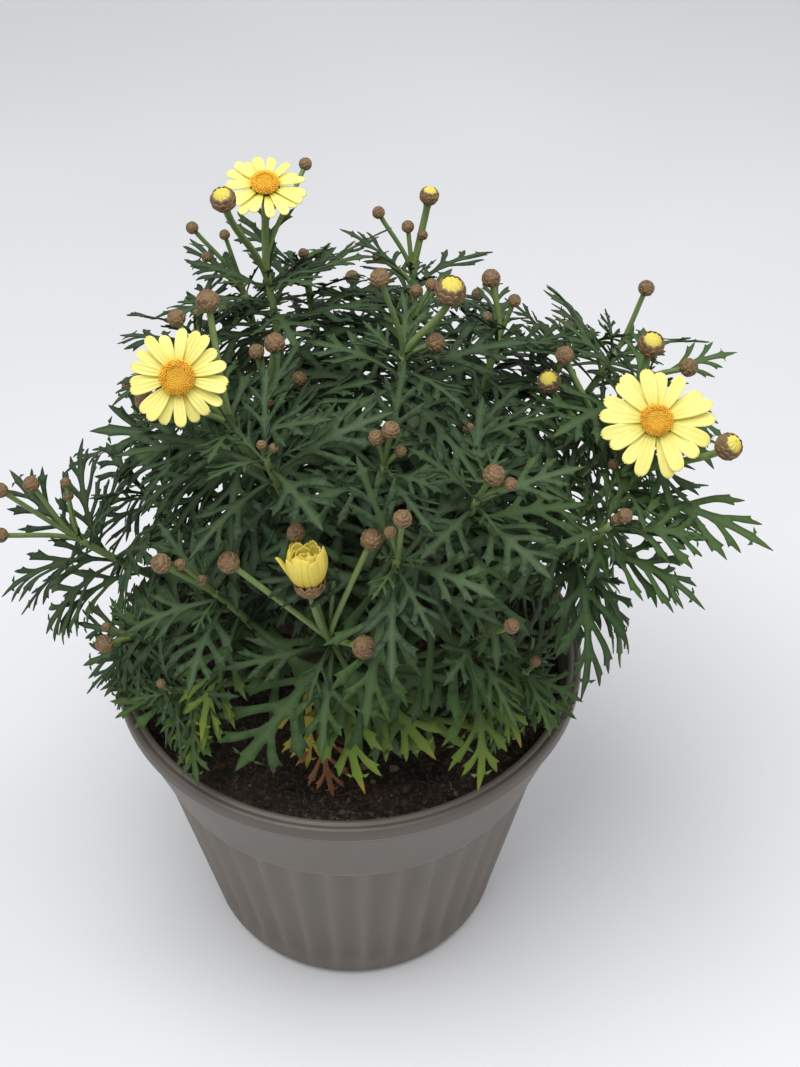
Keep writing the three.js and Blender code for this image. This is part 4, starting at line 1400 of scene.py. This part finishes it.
def add_shoot(shoot, index, sheets, ray, paints):
    name = shoot.name
    chance = random.Random(7 * SEED + index)
    node = [f"shoot_{name}"] if f"shoot_{name}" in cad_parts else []
    add_piece(f"leaves_{name}", shoot_leaves(shoot, index, sheets), paints["leaf"], node)
    stems = [shoot_stem(shoot)]
    buds = []
    for order, (x, y, z, diameter) in enumerate(shoot.buds):
        offset = np.array([x, y, z], dtype=float)
        facing = unit(offset + np.array([0.001, 0, 0]))
        thick = STALK_RADIUS * (0.55 + 0.05 * diameter)
        stems.append(stalk(shoot, order, shoot.at + offset, facing, thick, chance.random()))
        scales = bud_shapes(diameter, chance)
        buds += moved(scales, frame_facing(facing, chance.uniform(0, 360)), shoot.at + offset)
    for order, head in enumerate(shoot.heads):
        more_stems, scales = add_head(shoot, head, len(buds) % 5 + order, ray, paints, chance)
        stems += more_stems
        buds += scales
    add_piece(f"stems_{name}", stems, paints["stalk"])
    if buds:
        add_piece(f"buds_{name}", buds, paints["bract"])


def add_plant():
    chance = random.Random(SEED)
    sheets = leaf_sheets(chance)
    ray = ray_sheet()
    paints = {
        "leaf": leaf_paint(),
        "stalk": stalk_paint(),
        "bract": bract_paint(),
        "ray": ray_paint("ray", (253, 245, 150), (240, 226, 96)),
        "opening": ray_paint("opening_ray", (250, 234, 112), (226, 188, 40)),
        "disc": disc_paint(),
    }
    for index, shoot in enumerate(SHOOTS):
        add_shoot(shoot, index, sheets, ray, paints)
    add_old_leaves(sheets)


# Stage

def add_floor():
    mesh = bpy.data.meshes.new("floor")
    corners = [(x * FLOOR_HALF, y * FLOOR_HALF, 0) for x, y in ((-1, -1), (1, -1), (1, 1), (-1, 1))]
    mesh.from_pydata(corners, [], [(0, 1, 2, 3)])
    mesh.materials.append(floor_paint())
    floor = bpy.data.objects.new("floor", mesh)
    bpy.context.scene.collection.objects.link(floor)


def add_light(name, place, power):
    data = bpy.data.lights.new(name, "AREA")
    data.size = LIGHT_SIZE
    data.energy = power
    light = bpy.data.objects.new(name, data)
    light.location = place
    light.rotation_euler = (Vector(LIGHT_AIM) - Vector(place)).to_track_quat("-Z", "Y").to_euler()
    bpy.context.scene.collection.objects.link(light)


def add_lights():
    for light in LIGHTS:
        add_light(*light)
    world = bpy.data.worlds.new("studio")
    world.use_nodes = True
    background = world.node_tree.nodes["Background"]
    background.inputs["Color"].default_value = (0.97, 0.98, 1.0, 1.0)
    background.inputs["Strength"].default_value = 0.5
    bpy.context.scene.world = world
    bpy.context.scene.view_settings.view_transform = "Standard"


def add_camera():
    data = bpy.data.cameras.new("camera")
    data.sensor_width = CAMERA_SENSOR
    data.lens = CAMERA_LENS
    camera = bpy.data.objects.new("camera", data)
    camera.location = CAMERA_PLACE
    pitch = Matrix.Rotation(math.radians(90 - CAMERA_PITCH), 3, "X")
    camera.rotation_euler = (pitch @ Matrix.Rotation(math.radians(CAMERA_ROLL), 3, "Z")).to_euler()
    bpy.context.scene.collection.objects.link(camera)
    bpy.context.scene.camera = camera


add_pot(pot_paint())
add_soil(soil_paint())
add_wood(wood_paint())
add_plant()
add_floor()
add_lights()
add_camera()
